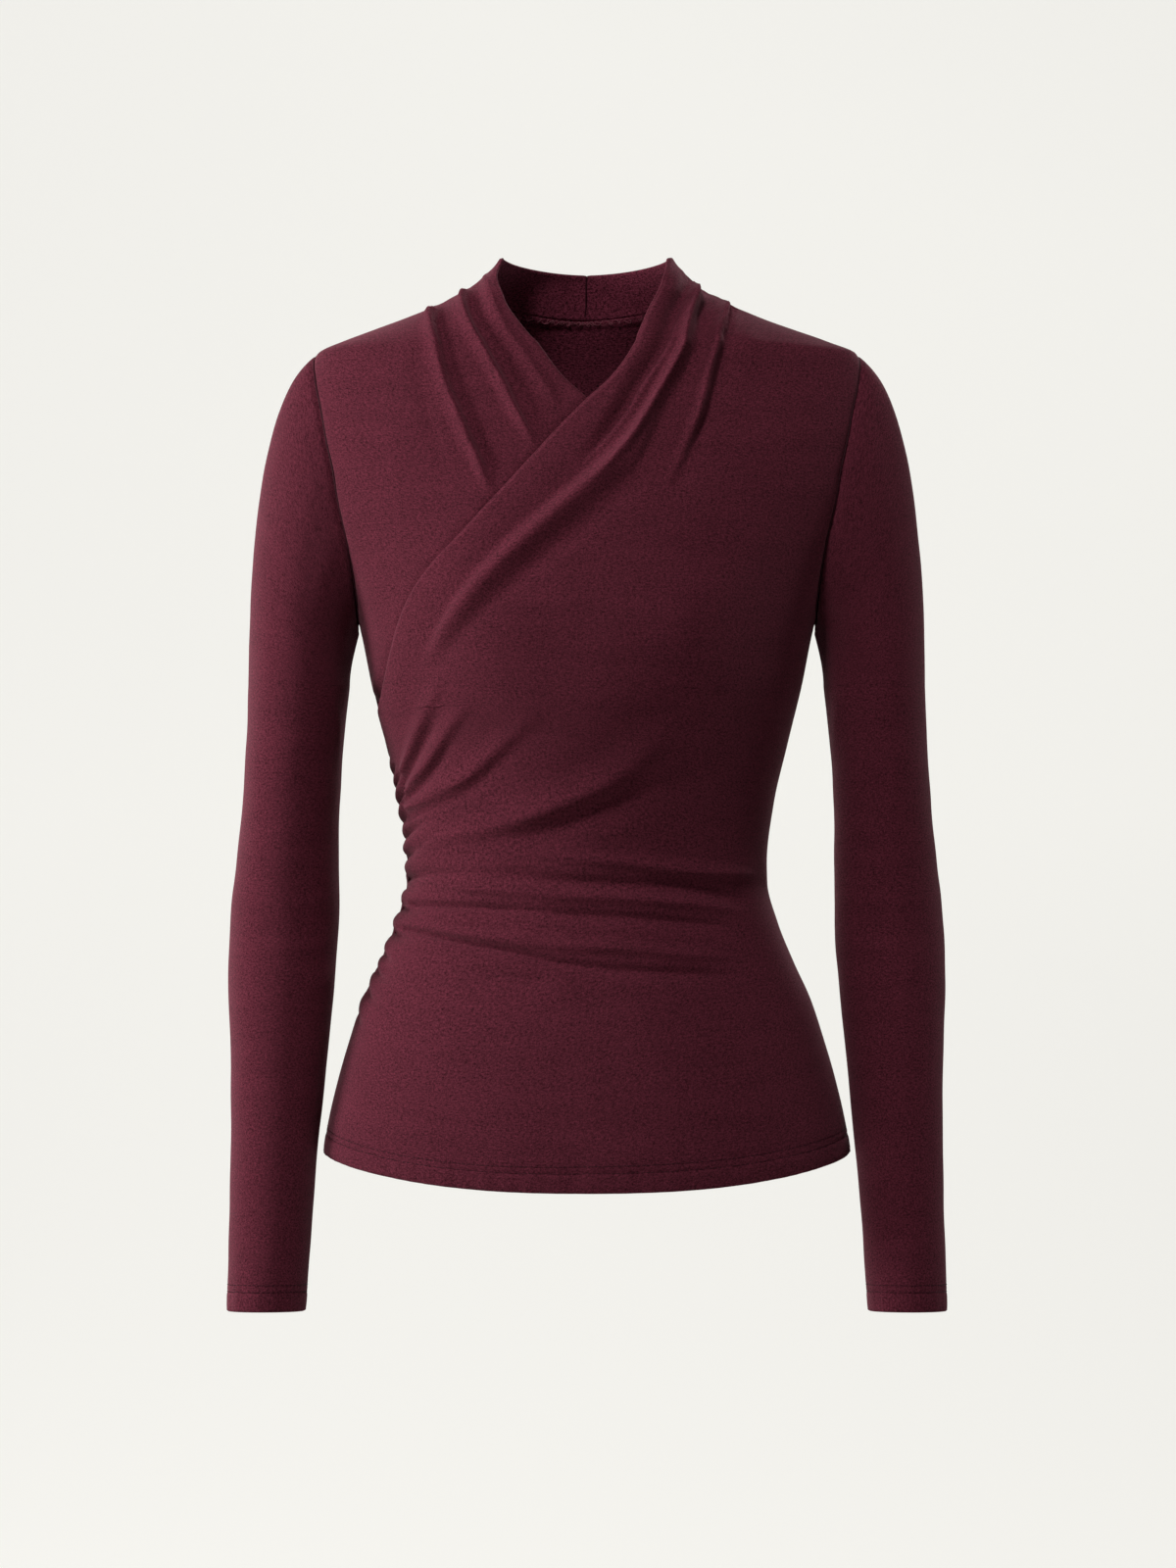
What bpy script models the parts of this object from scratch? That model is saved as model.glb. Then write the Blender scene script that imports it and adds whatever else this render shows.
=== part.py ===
# Long-sleeved wrap top in knitted cloth: two crossing fronts, a back, two sleeves
# and a two-piece back collar. The left front laps over the right one and is
# gathered into the right side seam. Sizes in the tables are millimetres.
# +Z is up, the front faces -Y, the wearer's left side is at +X. The origin is the
# middle of the neck, at the height where the shoulder lines meet the collar.

import math

import bmesh
import bpy
import numpy as np
from mathutils import Vector
from mathutils.geometry import delaunay_2d_cdt

MM = 0.001
WALL = 1.3            # cloth thickness
SEAM_GAP = 0.36       # between two pieces at a seam
LAP_DEPTH = 4.3       # how far the under front sinks below the over front
LAP_RAISE = 2.3       # how far the free edge of the over front stands off

COLLAR_TOP = 24.0     # collar height above the neck point, at the sides
COLLAR_DIP = 2.5      # lower at the centre of the back
NECK_POINT = 2.6      # where collar, back and front meet
NECK_DROP = 10.6      # back neck seam, lower at the centre
SHOULDER_TIP = -40.0
UNDERARM = -223.0
LAP_END = -281.0      # where the free edge runs into the side seam
HEM = -567.0          # at the side seams
HEM_DROP = 16.0       # lower at the centre of front and back
UNDER_HEM = -314.0    # lower edge of the under front, hidden

# Body sections: height, half width, depth to the front and to the back, and the
# exponent of the rounded outline (2 is an ellipse, more is squarer).
BODY_COLUMNS = ("z", "half_width", "front", "back", "squareness")
BODY = (
    (24.0, 57.0, 50.0, 62.0, 1.75),
    (18.0, 61.0, 51.0, 64.0, 1.75),
    (10.4, 69.0, 51.5, 65.0, 1.70),
    (6.5, 73.8, 52.0, 65.5, 1.66),
    (2.6, 79.3, 52.0, 66.0, 1.62),
    (-1.3, 87.0, 52.5, 66.5, 1.58),
    (-9.0, 101.0, 53.5, 68.0, 1.56),
    (-17.0, 120.0, 55.0, 70.0, 1.60),
    (-24.7, 141.0, 56.5, 72.5, 1.70),
    (-32.5, 161.8, 58.5, 75.5, 1.85),
    (-40.0, 178.5, 60.0, 78.5, 2.00),
    (-54.0, 185.0, 64.0, 83.5, 2.10),
    (-68.0, 187.0, 68.0, 87.5, 2.20),
    (-95.0, 184.5, 77.0, 94.0, 2.40),
    (-130.0, 180.0, 91.0, 98.5, 2.20),
    (-160.0, 172.0, 101.0, 100.0, 2.05),
    (-186.0, 162.0, 107.0, 99.5, 2.00),
    (-209.0, 154.0, 111.0, 98.5, 2.00),
    (-223.0, 150.0, 112.0, 97.0, 2.00),
    (-260.0, 142.4, 110.0, 92.0, 2.00),
    (-299.0, 133.0, 102.0, 85.0, 2.00),
    (-338.0, 124.0, 92.0, 79.0, 2.05),
    (-377.0, 119.3, 85.5, 76.0, 2.10),
    (-390.0, 119.6, 85.0, 77.0, 2.10),
    (-416.0, 126.4, 86.5, 83.0, 2.15),
    (-442.0, 136.8, 90.0, 91.5, 2.20),
    (-468.0, 148.5, 94.5, 100.0, 2.25),
    (-494.0, 157.0, 99.0, 106.5, 2.30),
    (-520.0, 164.5, 103.0, 112.0, 2.30),
    (-546.0, 170.6, 106.0, 116.5, 2.35),
    (-567.0, 174.0, 108.0, 119.0, 2.40),
)

# One shoulder hangs a little lower: sideways shift of the sections.
SHIFT_COLUMNS = ("z", "shift")
SHIFT = ((24.0, -0.2), (12.0, -0.5), (0.0, -0.8), (-10.0, -1.8), (-17.0, -2.4),
         (-26.0, -2.0), (-34.0, -1.3), (-39.5, 0.0), (-583.0, 0.0))

# Armhole: height, and the seam's distance in front of and behind the side line.
ARMHOLE_COLUMNS = ("z", "front", "back")
ARMHOLE = (
    (-40.0, 0.0, 0.0),
    (-50.0, 13.0, 14.0),
    (-68.0, 25.0, 30.0),
    (-95.0, 36.0, 42.0),
    (-130.0, 42.0, 48.0),
    (-160.0, 41.0, 46.0),
    (-186.0, 34.0, 38.0),
    (-209.0, 21.0, 24.0),
    (-223.0, 0.0, 0.0),
)

# Free edges of the two fronts: height and sideways place, from neck to side seam.
EDGE_COLUMNS = ("z", "x")
OVER_EDGE = (
    (24.0, 55.4),
    (16.0, 54.0),
    (6.0, 51.0),
    (-13.5, 44.0),
    (-39.0, 32.0),
    (-60.5, 18.0),
    (-77.5, 0.6),
    (-95.5, -17.0),
    (-116.0, -35.0),
    (-141.5, -58.0),
    (-168.0, -82.5),
    (-186.0, -100.0),
    (-205.5, -113.5),
    (-222.0, -121.0),
    (-241.0, -126.5),
    (-267.0, -133.5),
    (-281.0, -137.4),
)
UNDER_EDGE = (
    (24.0, -56.4),
    (11.0, -59.8),
    (-6.0, -54.0),
    (-24.5, -42.5),
    (-44.5, -28.5),
    (-60.5, -17.0),
    (-77.0, 0.6),
    (-95.5, 17.0),
    (-116.0, 35.0),
    (-141.5, 58.0),
    (-168.0, 82.5),
    (-186.0, 100.0),
    (-205.5, 113.5),
    (-222.0, 121.0),
    (-241.0, 126.5),
    (-267.0, 133.5),
    (-281.0, 137.4),
)

# Larger folds: path as (x, z) seen from the front or back, height of the ridge
# (a trough is negative), half width, and the share of the length that fades out
# at the upper and lower end.
FOLD_COLUMNS = ("path", "height", "half_width", "fade_in", "fade_out")
OVER_FOLDS = (
    (((76, -6), (62.5, -45), (35, -88), (5, -122), (-28, -152), (-62, -183),
      (-92, -218), (-113, -262)), 4.4, 13.5, 0.12, 0.25),
    (((70, -42), (46, -93), (14, -133), (-28, -169), (-64, -199), (-96, -234),
      (-113, -275)), -2.0, 9.5, 0.15, 0.25),
    (((91, -20), (80.5, -66), (63.5, -113), (53, -141)), 2.8, 12.0, 0.25, 0.40),
    (((-88, -258), (-103, -283), (-113, -303), (-121, -314)), 2.4, 9.0, 0.4, 0.05),
    (((-70, -270), (-86, -290), (-101, -311), (-119, -328)), 2.6, 9.0, 0.4, 0.05),
    (((-46, -290), (-72, -314), (-97, -331), (-119, -341)), 2.8, 9.5, 0.3, 0.05),
    (((48, -296), (17, -318), (-25, -338), (-66, -353), (-108, -363)),
     3.0, 16.0, 0.35, 0.10),
    (((50, -331), (-8, -352), (-62, -366), (-104, -376)), -1.6, 11.0, 0.3, 0.1),
    (((23, -377), (72, -380), (104, -385)), 2.0, 13.0, 0.4, 0.3),
    (((-100, -398), (-20, -397), (52, -398)), 2.2, 12.0, 0.2, 0.4),
    (((-106, -415), (-76, -419), (-25, -427)), 1.5, 10.0, 0.3, 0.5),
)
UNDER_FOLDS = (
    (((-65, 1), (-38.5, -50), (-16, -94)), 1.6, 9.0, 0.3, 0.2),
    (((-83, -6), (-68, -48), (-46, -94), (-33, -116)), 3.4, 10.5, 0.15, 0.1),
    (((-95, -16), (-85, -57), (-65, -111), (-54, -136)), -1.4, 9.0, 0.2, 0.1),
    (((-105, -18), (-97, -69), (-80, -123), (-68, -150)), 3.4, 10.5, 0.2, 0.1),
)
BACK_FOLDS = (
    (((-92, -20), (-60, -70), (-34, -128)), 1.8, 14.0, 0.3, 0.5),
    (((92, -20), (64, -66), (42, -118)), 1.6, 14.0, 0.3, 0.5),
    (((-104, -318), (-48, -334), (30, -338), (88, -326)), 3.0, 12.0, 0.3, 0.3),
    (((-96, -352), (-24, -366), (44, -364)), 2.8, 11.0, 0.3, 0.3),
    (((-40, -390), (26, -397), (94, -386)), 2.6, 11.0, 0.3, 0.3),
    (((-98, -424), (-42, -430), (18, -428)), 2.0, 12.0, 0.3, 0.4),
)

# Gathers of the over front into the right side seam: height at the seam, ridge
# height, half width, and length.
GATHER_COLUMNS = ("z", "height", "half_width", "length")
GATHERS = (
    (-318.0, 0.9, 4.2, 26.0),
    (-329.0, 1.0, 4.2, 26.0),
    (-339.0, 1.9, 4.6, 36.0),
    (-349.5, 1.7, 4.4, 52.0),
    (-360.5, 1.0, 4.2, 40.0),
    (-370.5, 2.1, 4.6, 62.0),
    (-381.5, 1.3, 4.2, 52.0),
    (-399.0, 1.8, 5.4, 62.0),
    (-414.5, 1.9, 5.0, 62.0),
    (-429.5, 1.3, 4.6, 56.0),
    (-440.0, 0.9, 3.8, 44.0),
    (-450.0, 1.1, 4.2, 60.0),
    (-466.0, 1.1, 4.8, 52.0),
)

# Sleeve sections, hanging beside the body: height, sideways and front-to-back
# place of the centre, half width and half depth.
SLEEVE_COLUMNS = ("z", "x", "y", "half_width", "half_depth")
SLEEVE = (
    (-260.0, 190.8, 2.0, 33.4, 41.0),
    (-299.0, 193.7, 3.0, 32.2, 39.5),
    (-338.0, 196.5, 4.0, 32.2, 38.0),
    (-377.0, 198.6, 4.5, 34.0, 37.0),
    (-403.0, 200.0, 4.0, 35.6, 36.5),
    (-429.0, 201.2, 2.0, 36.0, 36.0),
    (-455.0, 202.2, -2.0, 35.2, 35.0),
    (-494.0, 203.0, -8.0, 32.6, 33.0),
    (-533.0, 204.2, -15.0, 30.2, 30.5),
    (-585.0, 206.0, -25.0, 27.8, 28.0),
    (-637.0, 207.6, -35.5, 26.4, 25.8),
    (-667.0, 208.6, -42.0, 25.6, 25.0),
)
# Sleeve head: where each line of the cap starts out from the armhole seam.
CAP_COLUMNS = ("turn", "x", "y", "z", "reach", "arrive")
CAP = (
    (0.0, 0.82, 0.00, -0.57, 150.0, 220.0),
    (45.0, 0.82, -0.28, -0.46, 110.0, 190.0),
    (90.0, 0.86, -0.32, -0.36, 78.0, 130.0),
    (135.0, 0.74, -0.22, -0.62, 52.0, 90.0),
    (180.0, 0.34, 0.00, -0.94, 22.0, 30.0),
    (225.0, 0.74, 0.20, -0.62, 52.0, 90.0),
    (270.0, 0.88, 0.22, -0.36, 78.0, 130.0),
    (315.0, 0.84, 0.24, -0.46, 110.0, 190.0),
    (360.0, 0.82, 0.00, -0.57, 150.0, 220.0),
)
ARMHOLE_STEPS = 12    # points along each half of an armhole
CAP_STEPS = (0.0, 0.06, 0.16, 0.29, 0.45, 0.7)
SLEEVE_STEPS = (-295.0, -332.0, -366.0, -394.0, -418.0, -442.0, -472.0, -508.0, -552.0,
                -608.0, -667.0)

CLOTH_COLOUR = (0.095, 0.021, 0.034, 1.0)


# ---- curves through the tables ------------------------------------------------

def column(rows, names, name):
    return np.array([row[names.index(name)] for row in rows], dtype=float)


def smooth_curve(places, sizes):
    # A curve through the rows that never swings past them.
    order = np.argsort(places)
    x, y = np.asarray(places)[order], np.asarray(sizes)[order]
    step = np.diff(x)
    slope = np.diff(y) / step
    lean = np.zeros_like(y)
    for i in range(1, len(y) - 1):
        if slope[i - 1] * slope[i] > 0:
            w1 = 2 * step[i] + step[i - 1]
            w2 = step[i] + 2 * step[i - 1]
            lean[i] = (w1 + w2) / (w1 / slope[i - 1] + w2 / slope[i])
    lean[0], lean[-1] = slope[0], slope[-1]

    def value(at):
        at = np.clip(at, x[0], x[-1])
        i = np.clip(np.searchsorted(x, at, side="right") - 1, 0, len(x) - 2)
        h = step[i]
        s = (at - x[i]) / h
        return ((1 + 2 * s) * (1 - s) ** 2 * y[i] + s * (1 - s) ** 2 * h * lean[i]
                + s * s * (3 - 2 * s) * y[i + 1] - s * s * (1 - s) * h * lean[i + 1])

    return value


def table_curve(rows, names, name, along="z"):
    return smooth_curve(column(rows, names, along), column(rows, names, name))


def ease(value, low, high):
    s = np.clip((np.asarray(value, dtype=float) - low) / (high - low), 0.0, 1.0)
    return s * s * (3.0 - 2.0 * s)


half_width = table_curve(BODY, BODY_COLUMNS, "half_width")
front_depth = table_curve(BODY, BODY_COLUMNS, "front")
back_depth = table_curve(BODY, BODY_COLUMNS, "back")
squareness = table_curve(BODY, BODY_COLUMNS, "squareness")
side_shift = table_curve(SHIFT, SHIFT_COLUMNS, "shift")
armhole_front = table_curve(ARMHOLE, ARMHOLE_COLUMNS, "front")
armhole_back = table_curve(ARMHOLE, ARMHOLE_COLUMNS, "back")
over_edge_x = table_curve(OVER_EDGE, EDGE_COLUMNS, "x")
under_edge_x = table_curve(UNDER_EDGE, EDGE_COLUMNS, "x")


# ---- the body's form ----------------------------------------------------------

def body_point(turn, z, front):
    # turn is the angle round the body in degrees, 0 at the centre of the front or
    # back, 90 at the wearer's left side and -90 at the right.
    turn, z = np.broadcast_arrays(np.asarray(turn, float), np.asarray(z, float))
    power = 2.0 / squareness(z)
    s = np.sin(np.radians(turn))
    c = np.clip(np.cos(np.radians(turn)), 0.0, 1.0)
    x = half_width(z) * np.sign(s) * np.abs(s) ** power
    if front:
        y = -front_depth(z) * c ** power
        bust = np.exp(-((np.abs(x) - 76.0) / 40.0) ** 2 - ((z + 228.0) / 46.0) ** 2)
        y = y - 8.0 * bust * c
    else:
        y = back_depth(z) * c ** power
        blades = np.exp(-((np.abs(x) - 80.0) / 42.0) ** 2 - ((z + 140.0) / 50.0) ** 2)
        y = y + 5.0 * blades * c
    return np.stack([x + side_shift(z), y, z], axis=-1)


def body_normal(turn, z, front):
    turn, z = np.broadcast_arrays(np.asarray(turn, float), np.asarray(z, float))
    across = (body_point(np.minimum(turn + 0.4, 90.0), z, front)
              - body_point(np.maximum(turn - 0.4, -90.0), z, front))
    up = body_point(turn, z + 0.6, front) - body_point(turn, z - 0.6, front)
    normal = np.cross(across, up) if front else np.cross(up, across)
    return normal / np.linalg.norm(normal, axis=-1, keepdims=True)


def turn_at_x(x, z):
    share = np.clip(np.abs(x) / half_width(z), 0.0, 1.0)
    angle = np.degrees(np.arcsin(share ** (squareness(z) / 2.0)))
    return np.sign(x) * angle


def turn_at_armhole(z, front):
    # The armhole's distance from the side line, as an angle round the body.
    depth = front_depth(z) if front else back_depth(z)
    reach = armhole_front(z) if front else armhole_back(z)
    share = np.clip(reach / depth, 0.0, 1.0)
    return 90.0 - np.degrees(np.arcsin(share ** (squareness(z) / 2.0)))


def side_turn(z, front):
    # Outer limit of a panel: shoulder line, armhole, then side seam.
    if z > SHOULDER_TIP or z < UNDERARM:
        return 90.0
    return float(turn_at_armhole(z, front))


def over_start(z):
    return float(turn_at_x(over_edge_x(z), z)) if z > LAP_END else -90.0


def under_start(z):
    return float(turn_at_x(under_edge_x(z), z)) if z > LAP_END else 90.0


# ---- folds --------------------------------------------------------------------

def rounded_path(corners, samples=36):
    corners = np.asarray(corners, float)
    run = np.concatenate([[0.0], np.cumsum(np.linalg.norm(np.diff(corners, axis=0), axis=1))])
    at = np.linspace(0.0, run[-1], samples)
    return np.stack([smooth_curve(run, corners[:, i])(at) for i in range(2)], axis=-1)


def distance_to_line(points, line):
    # Nearest distance from each point to a polyline, and how far along it lies.
    start, vector = line[:-1], line[1:] - line[:-1]
    length = np.linalg.norm(vector, axis=1)
    gone = np.concatenate([[0.0], np.cumsum(length)])[:-1]
    offset = points[:, None, :] - start[None, :, :]
    share = np.einsum("psk,sk->ps", offset, vector) / (length ** 2)
    share = np.clip(share, 0.0, 1.0)
    foot = start[None] + share[..., None] * vector[None]
    gap = np.linalg.norm(points[:, None, :] - foot, axis=2)
    best = np.argmin(gap, axis=1)
    rows = np.arange(len(points))
    return gap[rows, best], (gone[best] + share[rows, best] * length[best]) / length.sum()


def fold_height(points, folds, front):
    total = np.zeros(len(points))
    for path, height, width, fade_in, fade_out in folds:
        flat = rounded_path(path)
        turn = turn_at_x(flat[:, 0], flat[:, 1])
        line = body_point(turn, flat[:, 1], front)
        gap, along = distance_to_line(points, line)
        shape = np.cos(np.clip(gap / (2.0 * width), 0.0, 0.5) * math.pi) ** 2
        ends = ease(along, 0.0, fade_in) * ease(1.0 - along, 0.0, fade_out)
        total += height * shape * ends
    return total


def gather_height(distance, z):
    # Ridges that start at the side seam, fan out and fade towards the front.
    total = np.zeros_like(z)
    for place, height, width, length in GATHERS:
        climb = fan_rise(place) * gather_run(distance)
        ridge = np.exp(-((z - place - climb) / width) ** 2)
        grow = ease(distance, 0.0, 9.0)
        fade = 1.0 - ease(distance, length * 0.3, length)
        total += height * ridge * grow * fade
    return total


def gather_run(distance):
    # The fan of gathers climbs away from the seam, then settles level again.
    return 60.0 * (1.0 - np.exp(-distance / 60.0)) * (1.0 - ease(distance, 110.0, 290.0))


# Spacing of the points down the over front's side seam: from, to, spacing.
OVER_SEAM_STEPS = ((-281.0, -318.0, 9.0), (-318.0, -468.0, 3.0), (-468.0, -567.0, 11.0))

# Slope at which the rows, and the gathers with them, leave the side seam.
FAN_COLUMNS = ("z", "rise")
FAN = ((-560.0, 0.0), (-466.0, -0.34), (-429.0, -0.18), (-399.0, 0.0), (-370.0, 0.38),
       (-350.0, 0.60), (-336.0, 0.66), (-318.0, 0.52), (-300.0, 0.30), (-281.0, 0.12),
       (-230.0, 0.0), (40.0, 0.0))
fan_rise = table_curve(FAN, FAN_COLUMNS, "rise")


def edge_line(start_turn, front=True):
    heights = np.linspace(COLLAR_TOP, LAP_END, 90)
    turns = [start_turn(z) for z in heights[:-1]] + [start_turn(LAP_END - 0.01)]
    return body_point(np.array(turns), heights, front)


def over_lift(turn, z, base, distance):
    # Height of the over front above the body's form.
    gap, along = distance_to_line(base, edge_line(over_start))
    raised = LAP_RAISE * (1.0 - ease(gap, 9.0, 34.0)) * (1.0 - ease(along, 0.93, 1.0))
    raised *= ease(90.0 - np.abs(turn), 0.0, 9.0)
    folds = fold_height(base, OVER_FOLDS, True)
    seam = ease(90.0 - np.abs(turn), 0.0, 7.0)
    below = ease(LAP_END + 10.0 - z, 0.0, 20.0)
    return raised + folds * seam + gather_height(distance, z) * below


def under_lift(turn, z, base):
    # The under front sinks below the over front where the two lap, and sooner
    # towards the side seam, where they are sewn in together.
    gap, along = distance_to_line(base, edge_line(over_start))
    covered = np.array([h < LAP_END or t > over_start(h) for t, h in zip(turn, z)])
    signed = np.where(covered, gap, -gap)
    sooner = ease(along, 0.78, 0.97)
    sunk = ease(signed, -5.0 - 12.0 * sooner, 11.0 - 12.0 * sooner)
    folds = fold_height(base, UNDER_FOLDS, True) * ease(-signed, 1.0, 22.0)
    folds *= ease(90.0 - np.abs(turn), 0.0, 9.0)
    return folds * (1.0 - sunk) - LAP_DEPTH * sunk


# ---- panels -------------------------------------------------------------------

def walk(start, end, spacing, turn_of, front):
    # Heights along a boundary, with the wanted spacing measured on the cloth.
    fine = np.linspace(start, end, 700)
    turns = np.array([turn_of(z) for z in fine])
    line = body_point(turns, fine, front)
    run = np.concatenate([[0.0], np.cumsum(np.linalg.norm(np.diff(line, axis=0), axis=1))])
    steps = max(2, round(run[-1] / spacing))
    return list(np.interp(np.linspace(0.0, run[-1], steps + 1), run, fine))


def armhole_heights():
    middle = (SHOULDER_TIP + UNDERARM) / 2.0
    reach = (SHOULDER_TIP - UNDERARM) / 2.0
    return [middle + reach * math.cos(math.pi * i / ARMHOLE_STEPS)
            for i in range(ARMHOLE_STEPS + 1)]


def arc_turns(first, last, z, front):
    # Angles round the body against distance along the row.
    turns = np.linspace(first, last, 161)
    line = body_point(turns, np.full(161, z), front)
    run = np.concatenate([[0.0], np.cumsum(np.linalg.norm(np.diff(line, axis=0), axis=1))])
    return run, turns


def hem_fall(turn, row):
    return HEM_DROP * math.cos(math.radians(turn)) ** 2 * float(ease(-row, 430.0, -HEM))


def row_length(first_of, last_of, row, front):
    return arc_turns(first_of(row), last_of(row), row, front)[0][-1]


def triangulate(loop, inside, centred):
    # Each spot is (turn, z, distance along its row, row, row length). Triangles
    # follow the rows and the lines that run beside the row starts.
    spots = loop + inside
    flat = [Vector(laid_flat(spot, centred)) for spot in spots]
    result = delaunay_2d_cdt(flat, [], [list(range(len(loop)))], 1, 1e-4)
    kept = [ids[0] for ids in result[3]]
    faces = [[kept[i] for i in face] for face in result[2]]
    return spots, faces


def laid_flat(spot, centred):
    return spot[2] - (spot[4] / 2.0 if centred else 0.0), 1.25 * spot[3]


def clear_of(loop_flat, place, room):
    return min((place[0] - x) ** 2 + (place[1] - y) ** 2 for x, y in loop_flat) > room * room


def fill_rows(loop, rows, first_of, last_of, columns_of, front, fan, centred):
    loop_flat = [laid_flat(spot, centred) for spot in loop]
    inside = []
    for row, fine in rows:
        run, turns = arc_turns(first_of(row), last_of(row), row, front)
        passed = arc_turns(-90.0, first_of(row), row, front)[0][-1]
        for distance in columns_of(row, fine, run[-1]):
            turn = float(np.interp(distance, run, turns))
            z = row - hem_fall(turn, row)
            if fan:
                climb = gather_run(distance + passed) - gather_run(passed)
                z += float(fan_rise(row) * climb)
            spot = (turn, z, distance, row, run[-1])
            if clear_of(loop_flat, laid_flat(spot, centred), 1.6 if fine else 4.4):
                inside.append(spot)
    return inside


# ---- making the pieces --------------------------------------------------------

def make_collection(name):
    group = bpy.data.collections.new(name)
    bpy.context.scene.collection.children.link(group)
    return group


def cloth_material(name):
    material = bpy.data.materials.new(name)
    material.use_nodes = True
    shader = material.node_tree.nodes["Principled BSDF"]
    shader.inputs["Base Color"].default_value = CLOTH_COLOUR
    shader.inputs["Roughness"].default_value = 0.9
    shader.inputs["Metallic"].default_value = 0.0
    return material


def cloth_piece(name, points, inward, faces, rims, group):
    # A wall of cloth: the outer surface, the same surface moved inwards, and the
    # rims that close the two along each edge of the piece.
    count = len(points)
    inner = [np.asarray(p) + np.asarray(n) * WALL for p, n in zip(points, inward)]
    shell = [list(face) for face in faces]
    shell += [[i + count for i in face[::-1]] for face in faces]
    for rim in rims:
        for a, b in zip(rim, rim[1:] + rim[:1]):
            shell.append([b, a, a + count, b + count])
    mesh = bpy.data.meshes.new(name)
    mesh.from_pydata([Vector(p) * MM for p in list(points) + inner], [], shell)
    work = bmesh.new()
    work.from_mesh(mesh)
    bmesh.ops.recalc_face_normals(work, faces=work.faces)
    work.to_mesh(mesh)
    work.free()
    mesh.shade_smooth()
    mesh.set_sharp_from_angle(angle=math.radians(50.0))
    piece = bpy.data.objects.new(name, mesh)
    group.objects.link(piece)
    mesh.materials.append(cloth_material(name + "_knit"))
    return piece


def rim_of(loop):
    return list(range(len(loop)))


def outward(points, faces):
    # Turns every face so that it looks away from the body's middle.
    turned = []
    for face in faces:
        a, b, c = (np.asarray(points[i]) for i in face)
        normal = np.cross(b - a, c - a)
        middle = (a + b + c) / 3.0
        away = np.array([middle[0], middle[1], 0.25 * abs(middle[0])])
        turned.append(face if np.dot(normal, away) > 0 else face[::-1])
    return turned


def over_columns(row, fine, length):
    if fine:
        return [d for d in (5, 10, 17, 25, 33, 41, 49, 57, 65) if d < length - 3.0]
    near = list(np.arange(6.5, 62.0, 6.5))
    step = 13.0 if -300.0 > row > -400.0 else 21.0
    far = list(np.arange(near[-1] + 10.0, length, step))
    return [d for d in near + far if d < length - 5.0]


def side_walk(loop, first_of, last_of, front, sign, spacing, top):
    # Adds the outer boundary from the hem up: side seam, armhole, shoulder line.
    bottom = loop[-1][3]
    heights = walk(bottom, UNDERARM, spacing, lambda z: 90.0, front)[:-1]
    heights += armhole_heights()[::-1][:-1]
    heights += walk(SHOULDER_TIP, top, 8.5, lambda z: 90.0, front)
    for z in heights:
        turn = abs(last_of(nudged(z)))
        length = row_length(first_of, last_of, nudged(z), front)
        loop.append((sign * turn, z, length, z, length))


def nudged(z):
    # Just inside the armhole's range at its two ends.
    return z - 0.001 if z == SHOULDER_TIP else z + 0.001 if z == UNDERARM else z


def add_front_over(group):
    last = lambda z: side_turn(z, True)
    loop = []
    for z in walk(COLLAR_TOP, LAP_END, 9.0, over_start, True)[:-1]:
        loop.append((over_start(z), z, 0.0, z, 0.0))
    for top, bottom, spacing in OVER_SEAM_STEPS:
        steps = round((top - bottom) / spacing)
        for i in range(steps):
            z = top + (bottom - top) * i / steps
            loop.append((-90.0, z, 0.0, z, 0.0))
    run, turns = arc_turns(-90.0, 90.0, HEM, True)
    steps = round(run[-1] / 14.0)
    for i in range(steps + 1):
        turn = float(np.interp(run[-1] * i / steps, run, turns))
        loop.append((turn, HEM - hem_fall(turn, HEM), run[-1] * i / steps, HEM, run[-1]))
    corner = loop[-1]
    side_walk(loop, over_start, last, True, 1.0, 13.0, COLLAR_TOP)
    del loop[loop.index(corner)]
    rows = [(z, False) for z in np.arange(19.0, -58.0, -5.5)]
    rows += [(z, False) for z in np.arange(-60.0, -312.0, -9.6)]
    for i in range(51):
        rows.append((-318.0 - 3.0 * i, i % 3 != 0))
    rows += [(z, False) for z in np.arange(-479.0, -560.0, -12.0)]
    inside = fill_rows(loop, rows, over_start, last, over_columns, True, True, False)
    spots, faces = triangulate(loop, inside, False)
    turn, z, distance = (np.array(values) for values in list(zip(*spots))[:3])
    base = body_point(turn, z, True)
    from_seam = np.where(z < LAP_END + 12.0, distance, 300.0)
    normal = body_normal(turn, z, True)
    points = base + normal * over_lift(turn, z, base, from_seam)[:, None]
    points[:, 1] -= SEAM_GAP / 2.0
    faces = outward(points, faces)
    return cloth_piece("front_over", points, -normal, faces, [rim_of(loop)], group)


def under_columns(row, fine, length):
    step = 8.5 if row > -140.0 else 15.0
    return [d for d in np.arange(step, length, step) if d < length - 5.0]


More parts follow.
